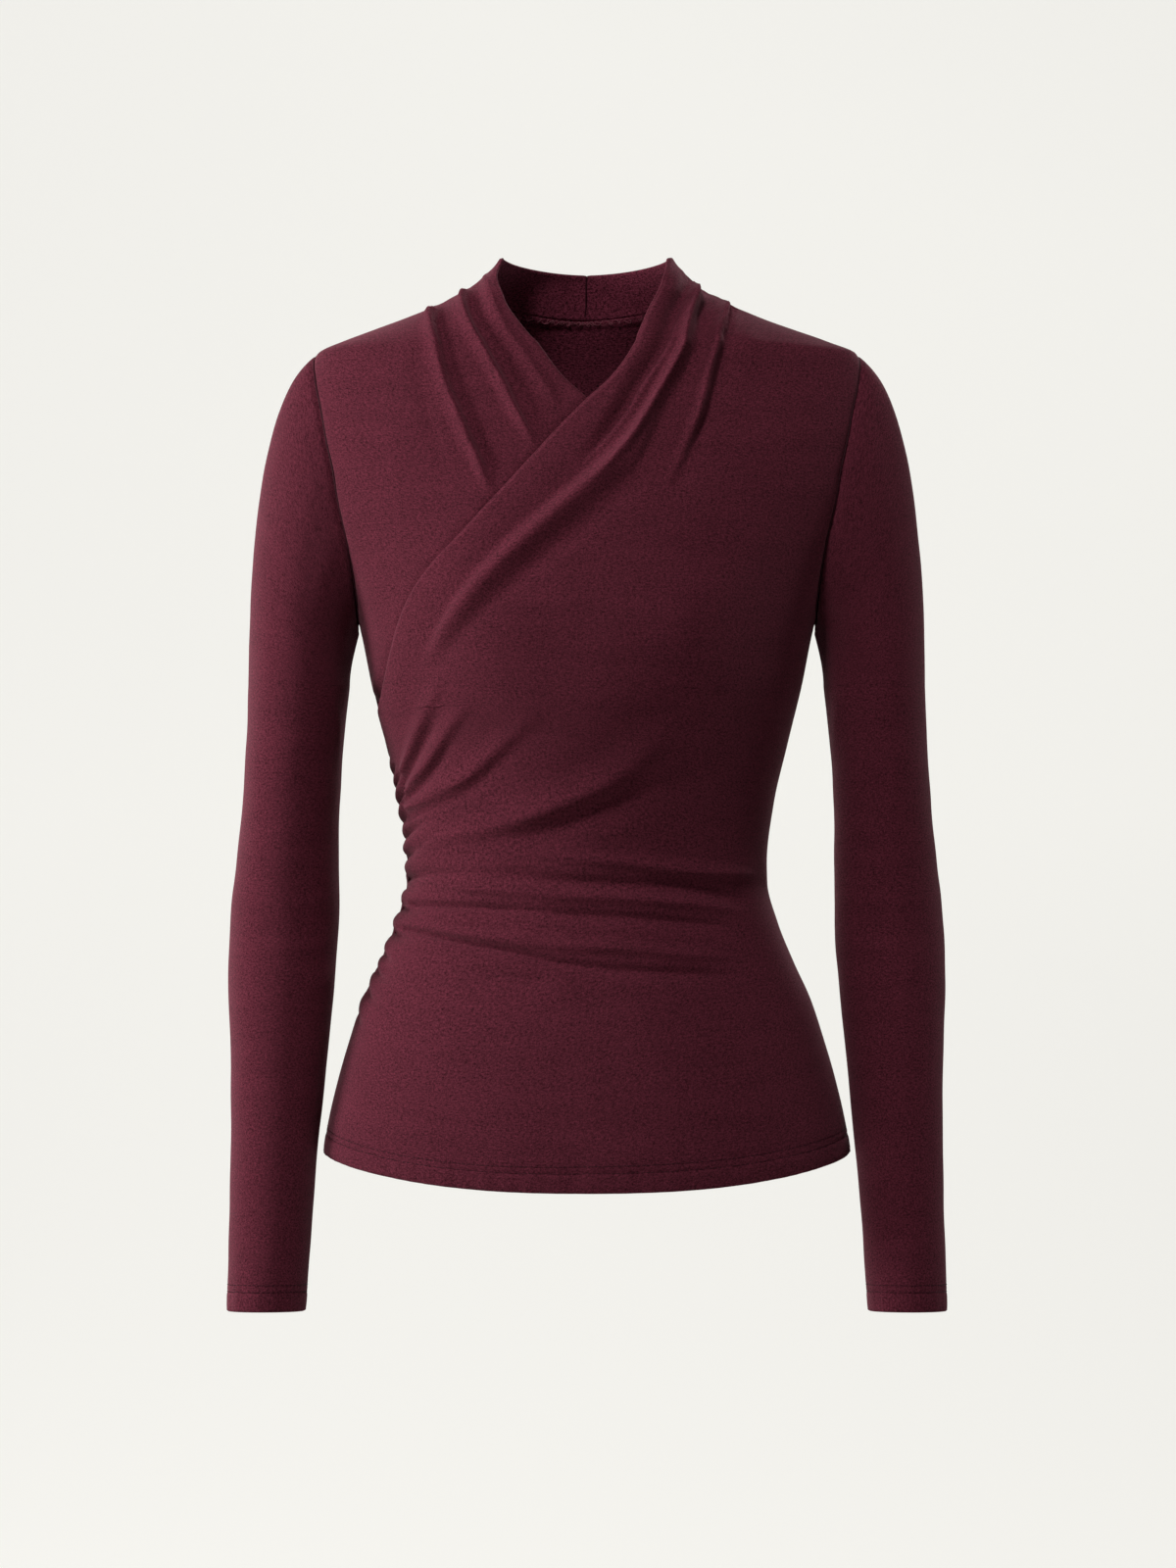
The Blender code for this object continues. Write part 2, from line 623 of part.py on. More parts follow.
def add_front_under(group):
    last = lambda z: -side_turn(z, True)
    loop = []
    for z in walk(COLLAR_TOP, LAP_END, 11.0, under_start, True)[:-1]:
        loop.append((under_start(z), z, 0.0, z, 0.0))
    for z in walk(LAP_END, UNDER_HEM, 11.0, lambda z: 90.0, True)[:-1]:
        loop.append((90.0, z, 0.0, z, 0.0))
    run, turns = arc_turns(90.0, -90.0, UNDER_HEM, True)
    steps = round(run[-1] / 16.0)
    for i in range(steps + 1):
        turn = float(np.interp(run[-1] * i / steps, run, turns))
        loop.append((turn, UNDER_HEM, run[-1] * i / steps, UNDER_HEM, run[-1]))
    corner = loop[-1]
    side_walk(loop, under_start, last, True, -1.0, 11.0, COLLAR_TOP)
    del loop[loop.index(corner)]
    rows = [(z, False) for z in np.arange(18.0, -58.0, -6.5)]
    rows += [(z, False) for z in np.arange(-62.0, -180.0, -10.0)]
    rows += [(z, False) for z in np.arange(-184.0, UNDER_HEM + 5.0, -14.0)]
    inside = fill_rows(loop, rows, under_start, last, under_columns, True, False, False)
    spots, faces = triangulate(loop, inside, False)
    turn, z = (np.array(values) for values in list(zip(*spots))[:2])
    base = body_point(turn, z, True)
    normal = body_normal(turn, z, True)
    points = base + normal * under_lift(turn, z, base)[:, None]
    points[:, 1] -= SEAM_GAP / 2.0
    faces = outward(points, faces)
    return cloth_piece("front_under", points, -normal, faces, [rim_of(loop)], group)


def back_neck(turn):
    # Seam between back and collar, lower at the centre of the back.
    return NECK_POINT - NECK_DROP * math.cos(math.radians(turn)) ** 2


def back_columns(row, fine, length):
    count = int((length / 2.0 - 9.0) // 23.0)
    return [length / 2.0 + 23.0 * i for i in range(-count, count + 1)]


def add_back(group):
    first = lambda z: -side_turn(z, False)
    last = lambda z: side_turn(z, False)
    half = []
    for turn in np.arange(0.0, 90.1, 12.857):
        z = back_neck(turn) - SEAM_GAP / 2.0
        run, turns = arc_turns(-90.0, 90.0, z, False)
        half.append((turn, z, float(np.interp(turn, turns, run)), z, run[-1]))
    side = [(90.0, 0.0, 0.0, HEM, 0.0)]
    side_walk(side, first, last, False, 1.0, 15.0, NECK_POINT - SEAM_GAP / 2.0)
    half += side[1:-1][::-1]
    run, turns = arc_turns(-90.0, 90.0, HEM, False)
    steps = round(run[-1] / 34.0)
    for i in range(steps - 1, -1, -1):
        at = run[-1] / 2.0 * (1.0 + i / steps)
        turn = float(np.interp(at, run, turns))
        half.append((turn, HEM - hem_fall(turn, HEM), at, HEM, run[-1]))
    other = [(-turn, z, length - at, row, length) for turn, z, at, row, length in half]
    loop = half + other[1:-1][::-1]
    rows = [(z, False) for z in np.arange(-2.0, -58.0, -7.5)]
    rows += [(z, False) for z in np.arange(-66.0, -296.0, -20.0)]
    rows += [(z, False) for z in np.arange(-306.0, -440.0, -8.5)]
    rows += [(z, False) for z in np.arange(-454.0, -560.0, -20.0)]
    inside = fill_rows(loop, rows, first, last, back_columns, False, False, True)
    inside = [spot for spot in inside if spot[1] < back_neck(spot[0]) - 4.0]
    spots, faces = triangulate(loop, inside, True)
    turn, z = (np.array(values) for values in list(zip(*spots))[:2])
    base = body_point(turn, z, False)
    normal = body_normal(turn, z, False)
    lift = fold_height(base, BACK_FOLDS, False) * ease(90.0 - np.abs(turn), 0.0, 9.0)
    points = base + normal * lift[:, None]
    points[:, 1] += SEAM_GAP / 2.0
    faces = outward(points, faces)
    return cloth_piece("back", points, -normal, faces, [rim_of(loop)], group)


def add_collar(name, side, group):
    # Half of the back collar, from the front's shoulder line to the centre back.
    steps, levels = 11, 4
    points, inward, faces = [], [], []
    for i in range(steps + 1):
        turn = side * (90.0 - 90.0 * i / steps)
        low = back_neck(turn) + SEAM_GAP / 2.0
        high = COLLAR_TOP - COLLAR_DIP * math.cos(math.radians(turn)) ** 2
        for j in range(levels + 1):
            z = low + (high - low) * j / levels
            point = body_point(turn, z, False)
            normal = body_normal(turn, z, False)
            point[1] += SEAM_GAP / 2.0
            if i == steps:
                point[0] = side * SEAM_GAP / 2.0
                normal[0] = 0.0
            points.append(point)
            inward.append(-normal)
    for i in range(steps):
        for j in range(levels):
            a = i * (levels + 1) + j
            b = a + levels + 1
            faces.append([a, b, b + 1, a + 1])
    last = steps * (levels + 1)
    rim = [i * (levels + 1) for i in range(steps + 1)]
    rim += [last + j for j in range(1, levels + 1)]
    rim += [i * (levels + 1) + levels for i in range(steps - 1, -1, -1)]
    rim += list(range(levels - 1, 0, -1))
    return cloth_piece(name, points, inward, faces, [rim], group)


def armhole_ring():
    # Seam line round the wearer's left armhole: down the front, up the back, with
    # the direction of each panel's wall.
    ring, walls = [], []
    heights = armhole_heights()
    for front, places in ((True, heights), (False, heights[::-1][1:-1])):
        for z in places:
            turn = side_turn(z - 0.001 if z > -60.0 else z + 0.001, front)
            point = body_point(turn, z, front)
            if z not in (heights[0], heights[-1]):
                point[1] += -SEAM_GAP / 2.0 if front else SEAM_GAP / 2.0
            ring.append(point)
            walls.append(-body_normal(turn, z, front))
    return ring, walls


def sleeve_ring(z, turns, tilt):
    size = {name: float(table_curve(SLEEVE, SLEEVE_COLUMNS, name)(z))
            for name in SLEEVE_COLUMNS[1:]}
    ring = []
    for turn in turns:
        angle = math.radians(turn)
        x = size["x"] + size["half_width"] * math.cos(angle)
        y = -size["half_depth"] * math.sin(angle)
        ring.append(np.array([x, size["y"] + y, z - y * tilt]))
    return ring


def ring_walls(rings, j):
    # Directions square to the sleeve's surface, pointing into it, at one ring.
    below, above = rings[min(j + 1, len(rings) - 1)], rings[max(j - 1, 0)]
    ring, count = rings[j], len(rings[j])
    middle = np.mean(ring, axis=0)
    walls = []
    for i in range(count):
        around = ring[(i + 1) % count] - ring[i - 1]
        wall = np.cross(around, below[i] - above[i])
        wall /= np.linalg.norm(wall)
        walls.append(wall if np.dot(wall, middle - ring[i]) > 0 else -wall)
    return walls


def shared_wall(own, panel):
    # At the seam the sleeve's wall lies along the panel's where the two run on
    # into each other, and keeps its own direction where they part.
    share = float(ease(np.dot(own, panel), 0.2, 0.85))
    wall = own * (1.0 - share) + panel * share
    return wall / np.linalg.norm(wall)


def add_sleeve(name, side, group):
    start, seam_walls = armhole_ring()
    count = len(start)
    turns = [360.0 * i / count for i in range(count)]
    head = sleeve_ring(SLEEVE[0][0], turns, 0.0)
    centre_y = table_curve(SLEEVE, SLEEVE_COLUMNS, "y")
    down = np.array([0.0, 0.0, -1.0])
    rings = []
    for s in CAP_STEPS:
        ring = []
        for i, turn in enumerate(turns):
            way = {key: float(table_curve(CAP, CAP_COLUMNS, key, "turn")(turn))
                   for key in CAP_COLUMNS[1:]}
            begin = np.array([way["x"], way["y"], way["z"]])
            begin /= np.linalg.norm(begin)
            outset = start[i] + begin * SEAM_GAP
            ring.append((1 + 2 * s) * (1 - s) ** 2 * outset
                        + s * (1 - s) ** 2 * way["reach"] * begin
                        + s * s * (3 - 2 * s) * head[i]
                        - s * s * (1 - s) * way["arrive"] * down)
        rings.append(ring)
    rings.append(head)
    for z in SLEEVE_STEPS:
        slope = float(centre_y(z + 10.0) - centre_y(z - 10.0)) / 20.0
        blend = float(ease(-z, 300.0, 480.0))
        rings.append(sleeve_ring(z, turns, slope * blend))
    mirror = np.array([side, 1.0, 1.0])
    points, inward, faces = [], [], []
    for j, ring in enumerate(rings):
        walls = ring_walls(rings, j)
        if j == 0:
            walls = [shared_wall(own, panel) for own, panel in zip(walls, seam_walls)]
        points += [point * mirror for point in ring]
        inward += [wall * mirror for wall in walls]
    for j in range(len(rings) - 1):
        for i in range(count):
            k = (i + 1) % count
            a, b = j * count + i, j * count + k
            faces.append([a, a + count, b + count, b])
    first = list(range(count))
    last = [i + (len(rings) - 1) * count for i in first]
    return cloth_piece(name, points, inward, faces, [first, last], group)


def main():
    for item in list(bpy.data.objects):
        bpy.data.objects.remove(item, do_unlink=True)
    top = make_collection("wrap_top")
    add_back(top)
    add_front_under(top)
    add_front_over(top)
    add_collar("collar_back_right", -1.0, top)
    add_collar("collar_back_left", 1.0, top)
    add_sleeve("sleeve_right", -1.0, top)
    add_sleeve("sleeve_left", 1.0, top)


main()
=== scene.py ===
import math

import bmesh
import bpy
import numpy as np
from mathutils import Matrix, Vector, noise


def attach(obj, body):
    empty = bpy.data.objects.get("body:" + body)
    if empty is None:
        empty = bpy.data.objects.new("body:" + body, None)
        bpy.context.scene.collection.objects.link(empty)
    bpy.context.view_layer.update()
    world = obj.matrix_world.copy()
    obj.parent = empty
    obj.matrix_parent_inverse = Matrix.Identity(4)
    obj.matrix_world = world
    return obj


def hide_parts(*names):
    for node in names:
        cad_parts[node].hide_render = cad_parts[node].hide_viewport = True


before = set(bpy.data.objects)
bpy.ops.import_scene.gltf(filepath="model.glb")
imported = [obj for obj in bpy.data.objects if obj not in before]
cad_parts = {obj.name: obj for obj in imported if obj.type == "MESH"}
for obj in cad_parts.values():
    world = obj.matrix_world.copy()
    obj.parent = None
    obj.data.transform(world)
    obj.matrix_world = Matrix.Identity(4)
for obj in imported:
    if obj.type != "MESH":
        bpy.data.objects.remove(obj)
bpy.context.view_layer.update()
for item in bpy.context.selected_objects:
    item.select_set(False)
bpy.context.scene.view_settings.view_transform = "Standard"
mm = 0.001
print("frame loaded:", len(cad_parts), "nodes")

# Sizes are millimetres until a mesh is made. The front faces -Y, the wearer's left is +X.
cloth = {
    "wall": 1.15,  # one layer of jersey
    "hemWall": 1.9,  # where it is turned up
    "seamGap": 0.1,
    "lapDepth": 4.3,  # under front, below the over front
    "lapRaise": 2.3,  # free edge of the over front
    "lapClear": -2.8,  # how deep the over front may dip, and how softly it stops there
    "lapSoft": 0.6,
    "collarTop": 24,
    "collarDip": 2.5,
    "neckPoint": 2.6,
    "neckDrop": 10.6,
    "shoulderTip": -40,
    "underarm": -223,
    "lapEnd": -281,
    "hem": -567,
    "hemDrop": 16,
    "underHem": -314,
    "stitchRows": (12, 16.5),  # heights over the hem's and cuffs' edges
}

bodySections = {  # height: half width, front depth, back depth, squareness
    24: (57, 50, 62, 1.75),
    18: (61, 51, 64, 1.75),
    10.4: (69, 51.5, 65, 1.7),
    6.5: (73.8, 52, 65.5, 1.66),
    2.6: (79.3, 52, 66, 1.62),
    -1.3: (87, 52.5, 66.5, 1.58),
    -9: (101, 53.5, 68, 1.56),
    -17: (120, 55, 70, 1.6),
    -24.7: (141, 56.5, 72.5, 1.7),
    -32.5: (161.8, 58.5, 75.5, 1.85),
    -40: (178.5, 60, 78.5, 2),
    -54: (185, 64, 83.5, 2.1),
    -68: (187, 68, 87.5, 2.2),
    -95: (184.5, 77, 94, 2.4),
    -130: (180, 91, 98.5, 2.2),
    -160: (172, 101, 100, 2.05),
    -186: (162, 107, 99.5, 2),
    -209: (154, 111, 98.5, 2),
    -223: (150, 112, 97, 2),
    -260: (142.4, 110, 92, 2),
    -299: (133, 102, 85, 2),
    -338: (124, 92, 79, 2.05),
    -377: (119.3, 85.5, 76, 2.1),
    -390: (119.6, 85, 77, 2.1),
    -416: (126.4, 86.5, 83, 2.15),
    -442: (136.8, 90, 91.5, 2.2),
    -468: (148.5, 94.5, 100, 2.25),
    -494: (157, 99, 106.5, 2.3),
    -520: (164.5, 103, 112, 2.3),
    -546: (170.6, 106, 116.5, 2.35),
    -567: (174, 108, 119, 2.4),
}
sideShifts = {24: -0.2, 12: -0.5, 0: -0.8, -10: -1.8, -17: -2.4,
              -26: -2, -34: -1.3, -39.5: 0, -583: 0}
armholeSeam = {  # height: distance in front of and behind the side line
    -40: (0, 0), -50: (13, 14), -68: (25, 30), -95: (36, 42),
    -130: (42, 48), -160: (41, 46), -186: (34, 38), -209: (21, 24),
    -223: (0, 0),
}


# curves

def smoothCurve(places, sizes):  # never swings past its points
    order = np.argsort(places)
    x, y = np.asarray(places, float)[order], np.asarray(sizes, float)[order]
    step = np.diff(x)
    slope = np.diff(y) / step
    lean = np.zeros_like(y)
    for i in range(1, len(y) - 1):
        if slope[i - 1] * slope[i] > 0:
            w1, w2 = 2 * step[i] + step[i - 1], step[i] + 2 * step[i - 1]
            lean[i] = (w1 + w2) / (w1 / slope[i - 1] + w2 / slope[i])
    lean[0], lean[-1] = slope[0], slope[-1]

    def value(at):
        at = np.clip(at, x[0], x[-1])
        i = np.clip(np.searchsorted(x, at, side="right") - 1, 0, len(x) - 2)
        h = step[i]
        s = (at - x[i]) / h
        return ((1 + 2 * s) * (1 - s) ** 2 * y[i] + s * (1 - s) ** 2 * h * lean[i]
                + s * s * (3 - 2 * s) * y[i + 1] - s * s * (1 - s) * h * lean[i + 1])

    return value


def curveOf(table):
    return smoothCurve(list(table), list(table.values()))


def tableCurves(table):  # one curve for each column
    places = list(table)
    return [smoothCurve(places, column) for column in zip(*table.values())]


def ease(value, low, high):
    s = np.clip((np.asarray(value, float) - low) / (high - low), 0, 1)
    return s * s * (3 - 2 * s)


def fade(value, low, high):
    return 1 - ease(value, low, high)


def lengthAlong(line):
    return np.concatenate([[0], np.cumsum(np.linalg.norm(np.diff(line, axis=0), axis=1))])


def unit(vectors):
    size = np.linalg.norm(vectors, axis=-1, keepdims=True)
    return vectors / np.maximum(size, 1e-9)


halfWidth, frontDepth, backDepth, squareness = tableCurves(bodySections)
sideShift = curveOf(sideShifts)
armholeFront, armholeBack = tableCurves(armholeSeam)


# the worn form: turn is 0 at the centre line, 90 at the wearer's left

swells = {  # height out, from the centre, reach across, height, reach up
    "bust": (8, 76, 40, -228, 46),
    "shoulderBlades": (5, 80, 42, -140, 50),
}


def swell(name, x, z):
    height, centre, across, level, up = swells[name]
    return height * np.exp(-((np.abs(x) - centre) / across) ** 2 - ((z - level) / up) ** 2)


def bodyPoint(turn, z, front):
    turn, z = np.broadcast_arrays(np.asarray(turn, float), np.asarray(z, float))
    power = 2 / squareness(z)
    s = np.sin(np.radians(turn))
    c = np.clip(np.cos(np.radians(turn)), 0, 1)
    x = halfWidth(z) * np.sign(s) * np.abs(s) ** power
    if front:
        y = -frontDepth(z) * c ** power - c * swell("bust", x, z)
    else:
        y = backDepth(z) * c ** power + c * swell("shoulderBlades", x, z)
    return np.stack([x + sideShift(z), y, z], axis=-1)


def bodyNormal(turn, z, front):
    turn, z = np.broadcast_arrays(np.asarray(turn, float), np.asarray(z, float))
    across = (bodyPoint(np.minimum(turn + 0.4, 90), z, front)
              - bodyPoint(np.maximum(turn - 0.4, -90), z, front))
    up = bodyPoint(turn, z + 0.6, front) - bodyPoint(turn, z - 0.6, front)
    return unit(np.cross(across, up) if front else np.cross(up, across))


def bodySurface(turn, z, front):
    return bodyPoint(turn, z, front), bodyNormal(turn, z, front)


def middleShare(turn):  # 1 at the centre line, 0 at the sides
    return np.cos(np.radians(turn)) ** 2


def turnAtX(x, z):
    share = np.clip(np.abs(x) / halfWidth(z), 0, 1)
    return np.sign(x) * np.degrees(np.arcsin(share ** (squareness(z) / 2)))


def sideTurn(z, front):  # shoulder line, armhole, side seam
    if z >= cloth["shoulderTip"] or z <= cloth["underarm"]:
        return 90
    depth = frontDepth(z) if front else backDepth(z)
    reach = armholeFront(z) if front else armholeBack(z)
    share = np.clip(reach / depth, 0, 1)
    return float(90 - np.degrees(np.arcsin(share ** (squareness(z) / 2))))


def arcTurns(first, last, z, front):
    turns = np.linspace(first, last, 201)
    return lengthAlong(bodyPoint(turns, np.full(201, z), front)), turns


def hemFall(turn, row):
    return cloth["hemDrop"] * middleShare(turn) * ease(-row, 430, 567)


def stepped(*stretches):  # heights: (from, to, spacing), ...
    heights = []
    for top, bottom, spacing in stretches:
        count = max(1, round(abs(top - bottom) / spacing))
        heights += [top + (bottom - top) * i / count for i in range(count)]
    return heights + [stretches[-1][1]]


def panelGrid(setup, shares, firstOf, lastOf, front):  # turn, row, run, run before it
    grid = []
    for row in stepped(*setup["rows"]):
        along, angles = arcTurns(firstOf(row), lastOf(row), row, front)
        run = shares * along[-1]
        passed = arcTurns(-90, firstOf(row), row, front)[0][-1]
        ones = np.ones(len(shares))
        grid.append((np.interp(run, along, angles), row * ones, run, passed * ones))
    return np.stack(grid, axis=1)


# A fold is a path of (x, z), a height, a width on the upper left, a width on the lower
# right, and the shares of its length that fade in and out. Paths run down or to the
# wearer's right. "round" gives a fold without a crest line.

crease = {
    "spread": 1.45,  # real half width for each unit of stated width
    "tip": 0.12649,  # rounding of the crest, as a share of the width
    "foot": 0.88149,  # where a crest meets the cloth, on the same scale
    "power": 1.75,  # sharpness
    "fromSeam": 0.06,  # a shorter fade than this starts at a seam
    "ridgeStart": (0.16, 0.15),  # share of its width at first, share of its length to fill out
    "hollowStart": (0.6, 0.08),
    "end": (0.55, 0.35),
}


def roundedPath(corners, samples=34):
    corners = np.asarray(corners, float)
    run = lengthAlong(corners)
    at = np.linspace(0, run[-1], samples)
    return np.stack([smoothCurve(run, corners[:, i])(at) for i in range(2)], axis=-1)


def nearestOnLine(points, line):  # distance, share of the line, stretch
    start, vector = line[:-1], np.diff(line, axis=0)
    length = np.linalg.norm(vector, axis=1)
    offset = points[:, None] - start[None]
    share = np.clip(np.einsum("psk,sk->ps", offset, vector) / length ** 2, 0, 1)
    gap = np.linalg.norm(offset - share[..., None] * vector[None], axis=2)
    best = np.argmin(gap, axis=1)
    each = np.arange(len(points))
    along = (lengthAlong(line)[best] + share[each, best] * length[best]) / length.sum()
    return gap[each, best], along, best


def filled(along, least, reached):
    return least + (1 - least) * ease(along, 0, reached)


def foldRelief(points, flat, folds, lineOf):
    grid = points.shape[:-1]
    points, flat = points.reshape(-1, 3), flat.reshape(-1, 2)
    total = np.zeros(len(points))
    for path, height, widthUp, widthDown, fadeIn, fadeOut, *shape in folds:
        bend = roundedPath(path)
        line = lineOf(bend)
        reach = 1.5 * max(widthUp, widthDown)
        low, high = line.min(axis=0) - reach, line.max(axis=0) + reach
        near = np.where(np.all((points > low) & (points < high), axis=1))[0]
        if not len(near):
            continue
        gap, along, best = nearestOnLine(points[near], line)
        way = np.diff(bend, axis=0)[best]
        off = flat[near] - bend[best]
        side = way[:, 0] * off[:, 1] - way[:, 1] * off[:, 0]
        begun = filled(along, *crease["hollowStart" if height < 0 else "ridgeStart"])
        taper = begun * filled(1 - along, *crease["end"])
        width = crease["spread"] * np.where(side > 0, widthDown, widthUp) * taper
        out = np.clip(gap / width, 0, 1)
        if "round" in shape:
            rise = 0.5 + 0.5 * np.cos(math.pi * out)
        else:
            out = np.sqrt(out * out + crease["tip"] ** 2) - crease["tip"]
            rise = np.clip(1 - out / crease["foot"], 0, 1) ** crease["power"]
        fadeEnds = ease(along, 0, max(fadeIn, 0.01)) * ease(1 - along, 0, max(fadeOut, 0.01))
        if fadeIn < crease["fromSeam"]:  # this one comes out of a seam
            fadeEnds = fadeEnds * begun
        total[near] += height * rise * fadeEnds
    return total.reshape(grid)


def bodyFolds(base, folds, front):
    lineOf = lambda bend: bodyPoint(turnAtX(bend[:, 0], bend[:, 1]), bend[:, 1], front)
    return foldRelief(base, base[..., [0, 2]], folds, lineOf)


def unevenness(points, size, height):  # slow swells of worn cloth
    flat = points.reshape(-1, 3)
    rise = [noise.noise(Vector(p) / size) for p in flat]
    return height * np.array(rise).reshape(points.shape[:-1])


def seamDip(distance, depth=0.9, width=2.4):  # stitches pull the cloth in
    return -depth * np.exp(-(distance / width) ** 2)


# cloth shells

def clothShell(name, outer, inward, wall, uv, closedRound):
    # outer is a grid of points, inward the way through the cloth, wall its thickness
    rowCount, columnCount = outer.shape[:2]
    inner = outer + inward * np.broadcast_to(np.asarray(wall, float), outer.shape[:2])[..., None]
    index = np.arange(rowCount * columnCount).reshape(rowCount, columnCount)
    following = np.roll(index, -1, axis=1) if closedRound else index[:, 1:]
    here = index if closedRound else index[:, :-1]
    skin = np.stack([here[:-1], here[1:], following[1:], following[:-1]], axis=-1).reshape(-1, 4)
    a, b, c = (outer.reshape(-1, 3)[skin[:, k]] for k in range(3))
    away = -inward.reshape(-1, 3)[skin[:, 0]]
    if np.sum(np.cross(b - a, c - a) * away) < 0:
        skin = skin[:, ::-1]
    size = rowCount * columnCount
    points = [outer.reshape(-1, 3), inner.reshape(-1, 3)]
    faces = [skin, skin[:, ::-1] + size]
    beyond = {"top": outer[0] - outer[1], "bottom": outer[-1] - outer[-2]}
    if closedRound:
        rims = [(index[0], beyond["top"]), (index[-1], beyond["bottom"])]
    else:
        left, right = outer[:, 0] - outer[:, 1], outer[:, -1] - outer[:, -2]
        loop = np.concatenate([index[0], index[1:, -1], index[-1, ::-1][1:], index[::-1, 0][1:-1]])
        ways = np.concatenate([beyond["top"], right[1:], beyond["bottom"][::-1][1:],
                               left[::-1][1:-1]])
        rims = [(loop, ways)]
    count = 2 * size
    flatOuter, flatInner = points
    uvAll = [uv.reshape(-1, 2)] * 2
    for loop, ways in rims:  # a rounded edge
        thick = np.linalg.norm(flatOuter[loop] - flatInner[loop], axis=1, keepdims=True)
        points.append((flatOuter[loop] + flatInner[loop]) / 2 + unit(ways) * thick * 0.38)
        uvAll.append(uvAll[0][loop])
        middle = np.arange(count, count + len(loop))
        count += len(loop)
        for one, two in ((loop, middle), (middle, loop + size)):
            faces.append(np.stack([one, np.roll(one, -1), np.roll(two, -1), two], axis=-1))
    quads = np.concatenate(faces)
    mesh = bpy.data.meshes.new(name)
    mesh.from_pydata((np.concatenate(points) * mm).tolist(), [], quads.tolist())
    coords = np.concatenate(uvAll)[quads.reshape(-1)]
    if closedRound:  # the last column runs on past the first
        wrapped = np.zeros(len(quads), bool)
        lastColumn = np.arange(columnCount) == columnCount - 1
        wrapped[:2 * len(skin)] = np.tile(lastColumn, 2 * (rowCount - 1))
        perQuad = coords.reshape(-1, 4, 2)
        widest = perQuad[:, :, 0].max(axis=1, keepdims=True)
        girth = uv[:, 1, 0].mean() * columnCount
        behind = wrapped[:, None] & (perQuad[:, :, 0] < widest - girth / 2)
        perQuad[:, :, 0] += behind * girth
        coords = perQuad.reshape(-1, 2)
    layer = mesh.uv_layers.new(name="cloth")
    layer.data.foreach_set("uv", (coords * mm).astype(np.float32).reshape(-1))
    for look in clothLooks:
        mesh.materials.append(look)
    kinds = np.zeros(len(quads), np.int32)
    kinds[len(skin):2 * len(skin)] = 1  # the inside
    mesh.polygons.foreach_set("material_index", kinds)
    work = bmesh.new()
    work.from_mesh(mesh)
    bmesh.ops.recalc_face_normals(work, faces=work.faces)
    work.to_mesh(mesh)
    work.free()
    mesh.shade_smooth()
    piece = bpy.data.objects.new(name, mesh)
    bpy.context.scene.collection.objects.link(piece)
    print(name, len(mesh.polygons) * 2, "triangles")
    return piece


def handIn(piece, nodeName):
    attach(piece, "root")
    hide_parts(nodeName)


def sewPanel(name, nodeName, surface, lift, wall, uv, front):
    base, normal = surface
    outer = base + normal * lift[..., None]
    outer[..., 1] += cloth["seamGap"] / (-2 if front else 2)
    handIn(clothShell(name, outer, -normal, wall, uv, False), nodeName)


# materials

class ShadeValue:  # a socket that plain sums work on
    def __init__(self, tree, socket):
        self.tree, self.socket = tree, socket

    def sum(self, operation, other=0):
        return addNode(self.tree, "Math", 0, {0: self, 1: other}, operation=operation)

    def __add__(self, other):
        return self.sum("ADD", other)

    def __sub__(self, other):
        return self.sum("SUBTRACT", other)

    def __mul__(self, other):
        return self.sum("MULTIPLY", other)

    def __truediv__(self, other):
        return self.sum("DIVIDE", other)

    def sine(self):
        return self.sum("SINE")

    def size(self):
        return self.sum("ABSOLUTE")

    def into(self, shader, name):
        self.tree.links.new(self.socket, shader.inputs[name])


def addNode(tree, kind, output, values, **settings):
    made = tree.nodes.new("ShaderNode" + kind)
    for name, setting in settings.items():
        setattr(made, name, setting)
    for name, value in values.items():
        if isinstance(value, ShadeValue):
            value.into(made, name)
        else:
            made.inputs[name].default_value = value
    return ShadeValue(tree, made.outputs[output])


def splitVector(vector):
    node = addNode(vector.tree, "SeparateXYZ", 0, {"Vector": vector}).socket.node
    return [ShadeValue(vector.tree, output) for output in node.outputs]


def mixTones(factor, first, second):
    return addNode(factor.tree, "Mix", 2, {"Factor": factor, 6: first, 7: second},
                   data_type="RGBA")


def newLook(name, constants):
    look = bpy.data.materials.new(name)
    look.use_nodes = True
    shader = look.node_tree.nodes["Principled BSDF"]
    for socket, value in constants.items():
        shader.inputs[socket].default_value = value
    return look, shader, addNode(look.node_tree, "TexCoord", "Object", {})


def makeBump(shader, relief, strength, depth):
    bump = addNode(relief.tree, "Bump", 0, {"Height": relief, "Strength": strength,
                                            "Distance": depth})
    bump.into(shader, "Normal")


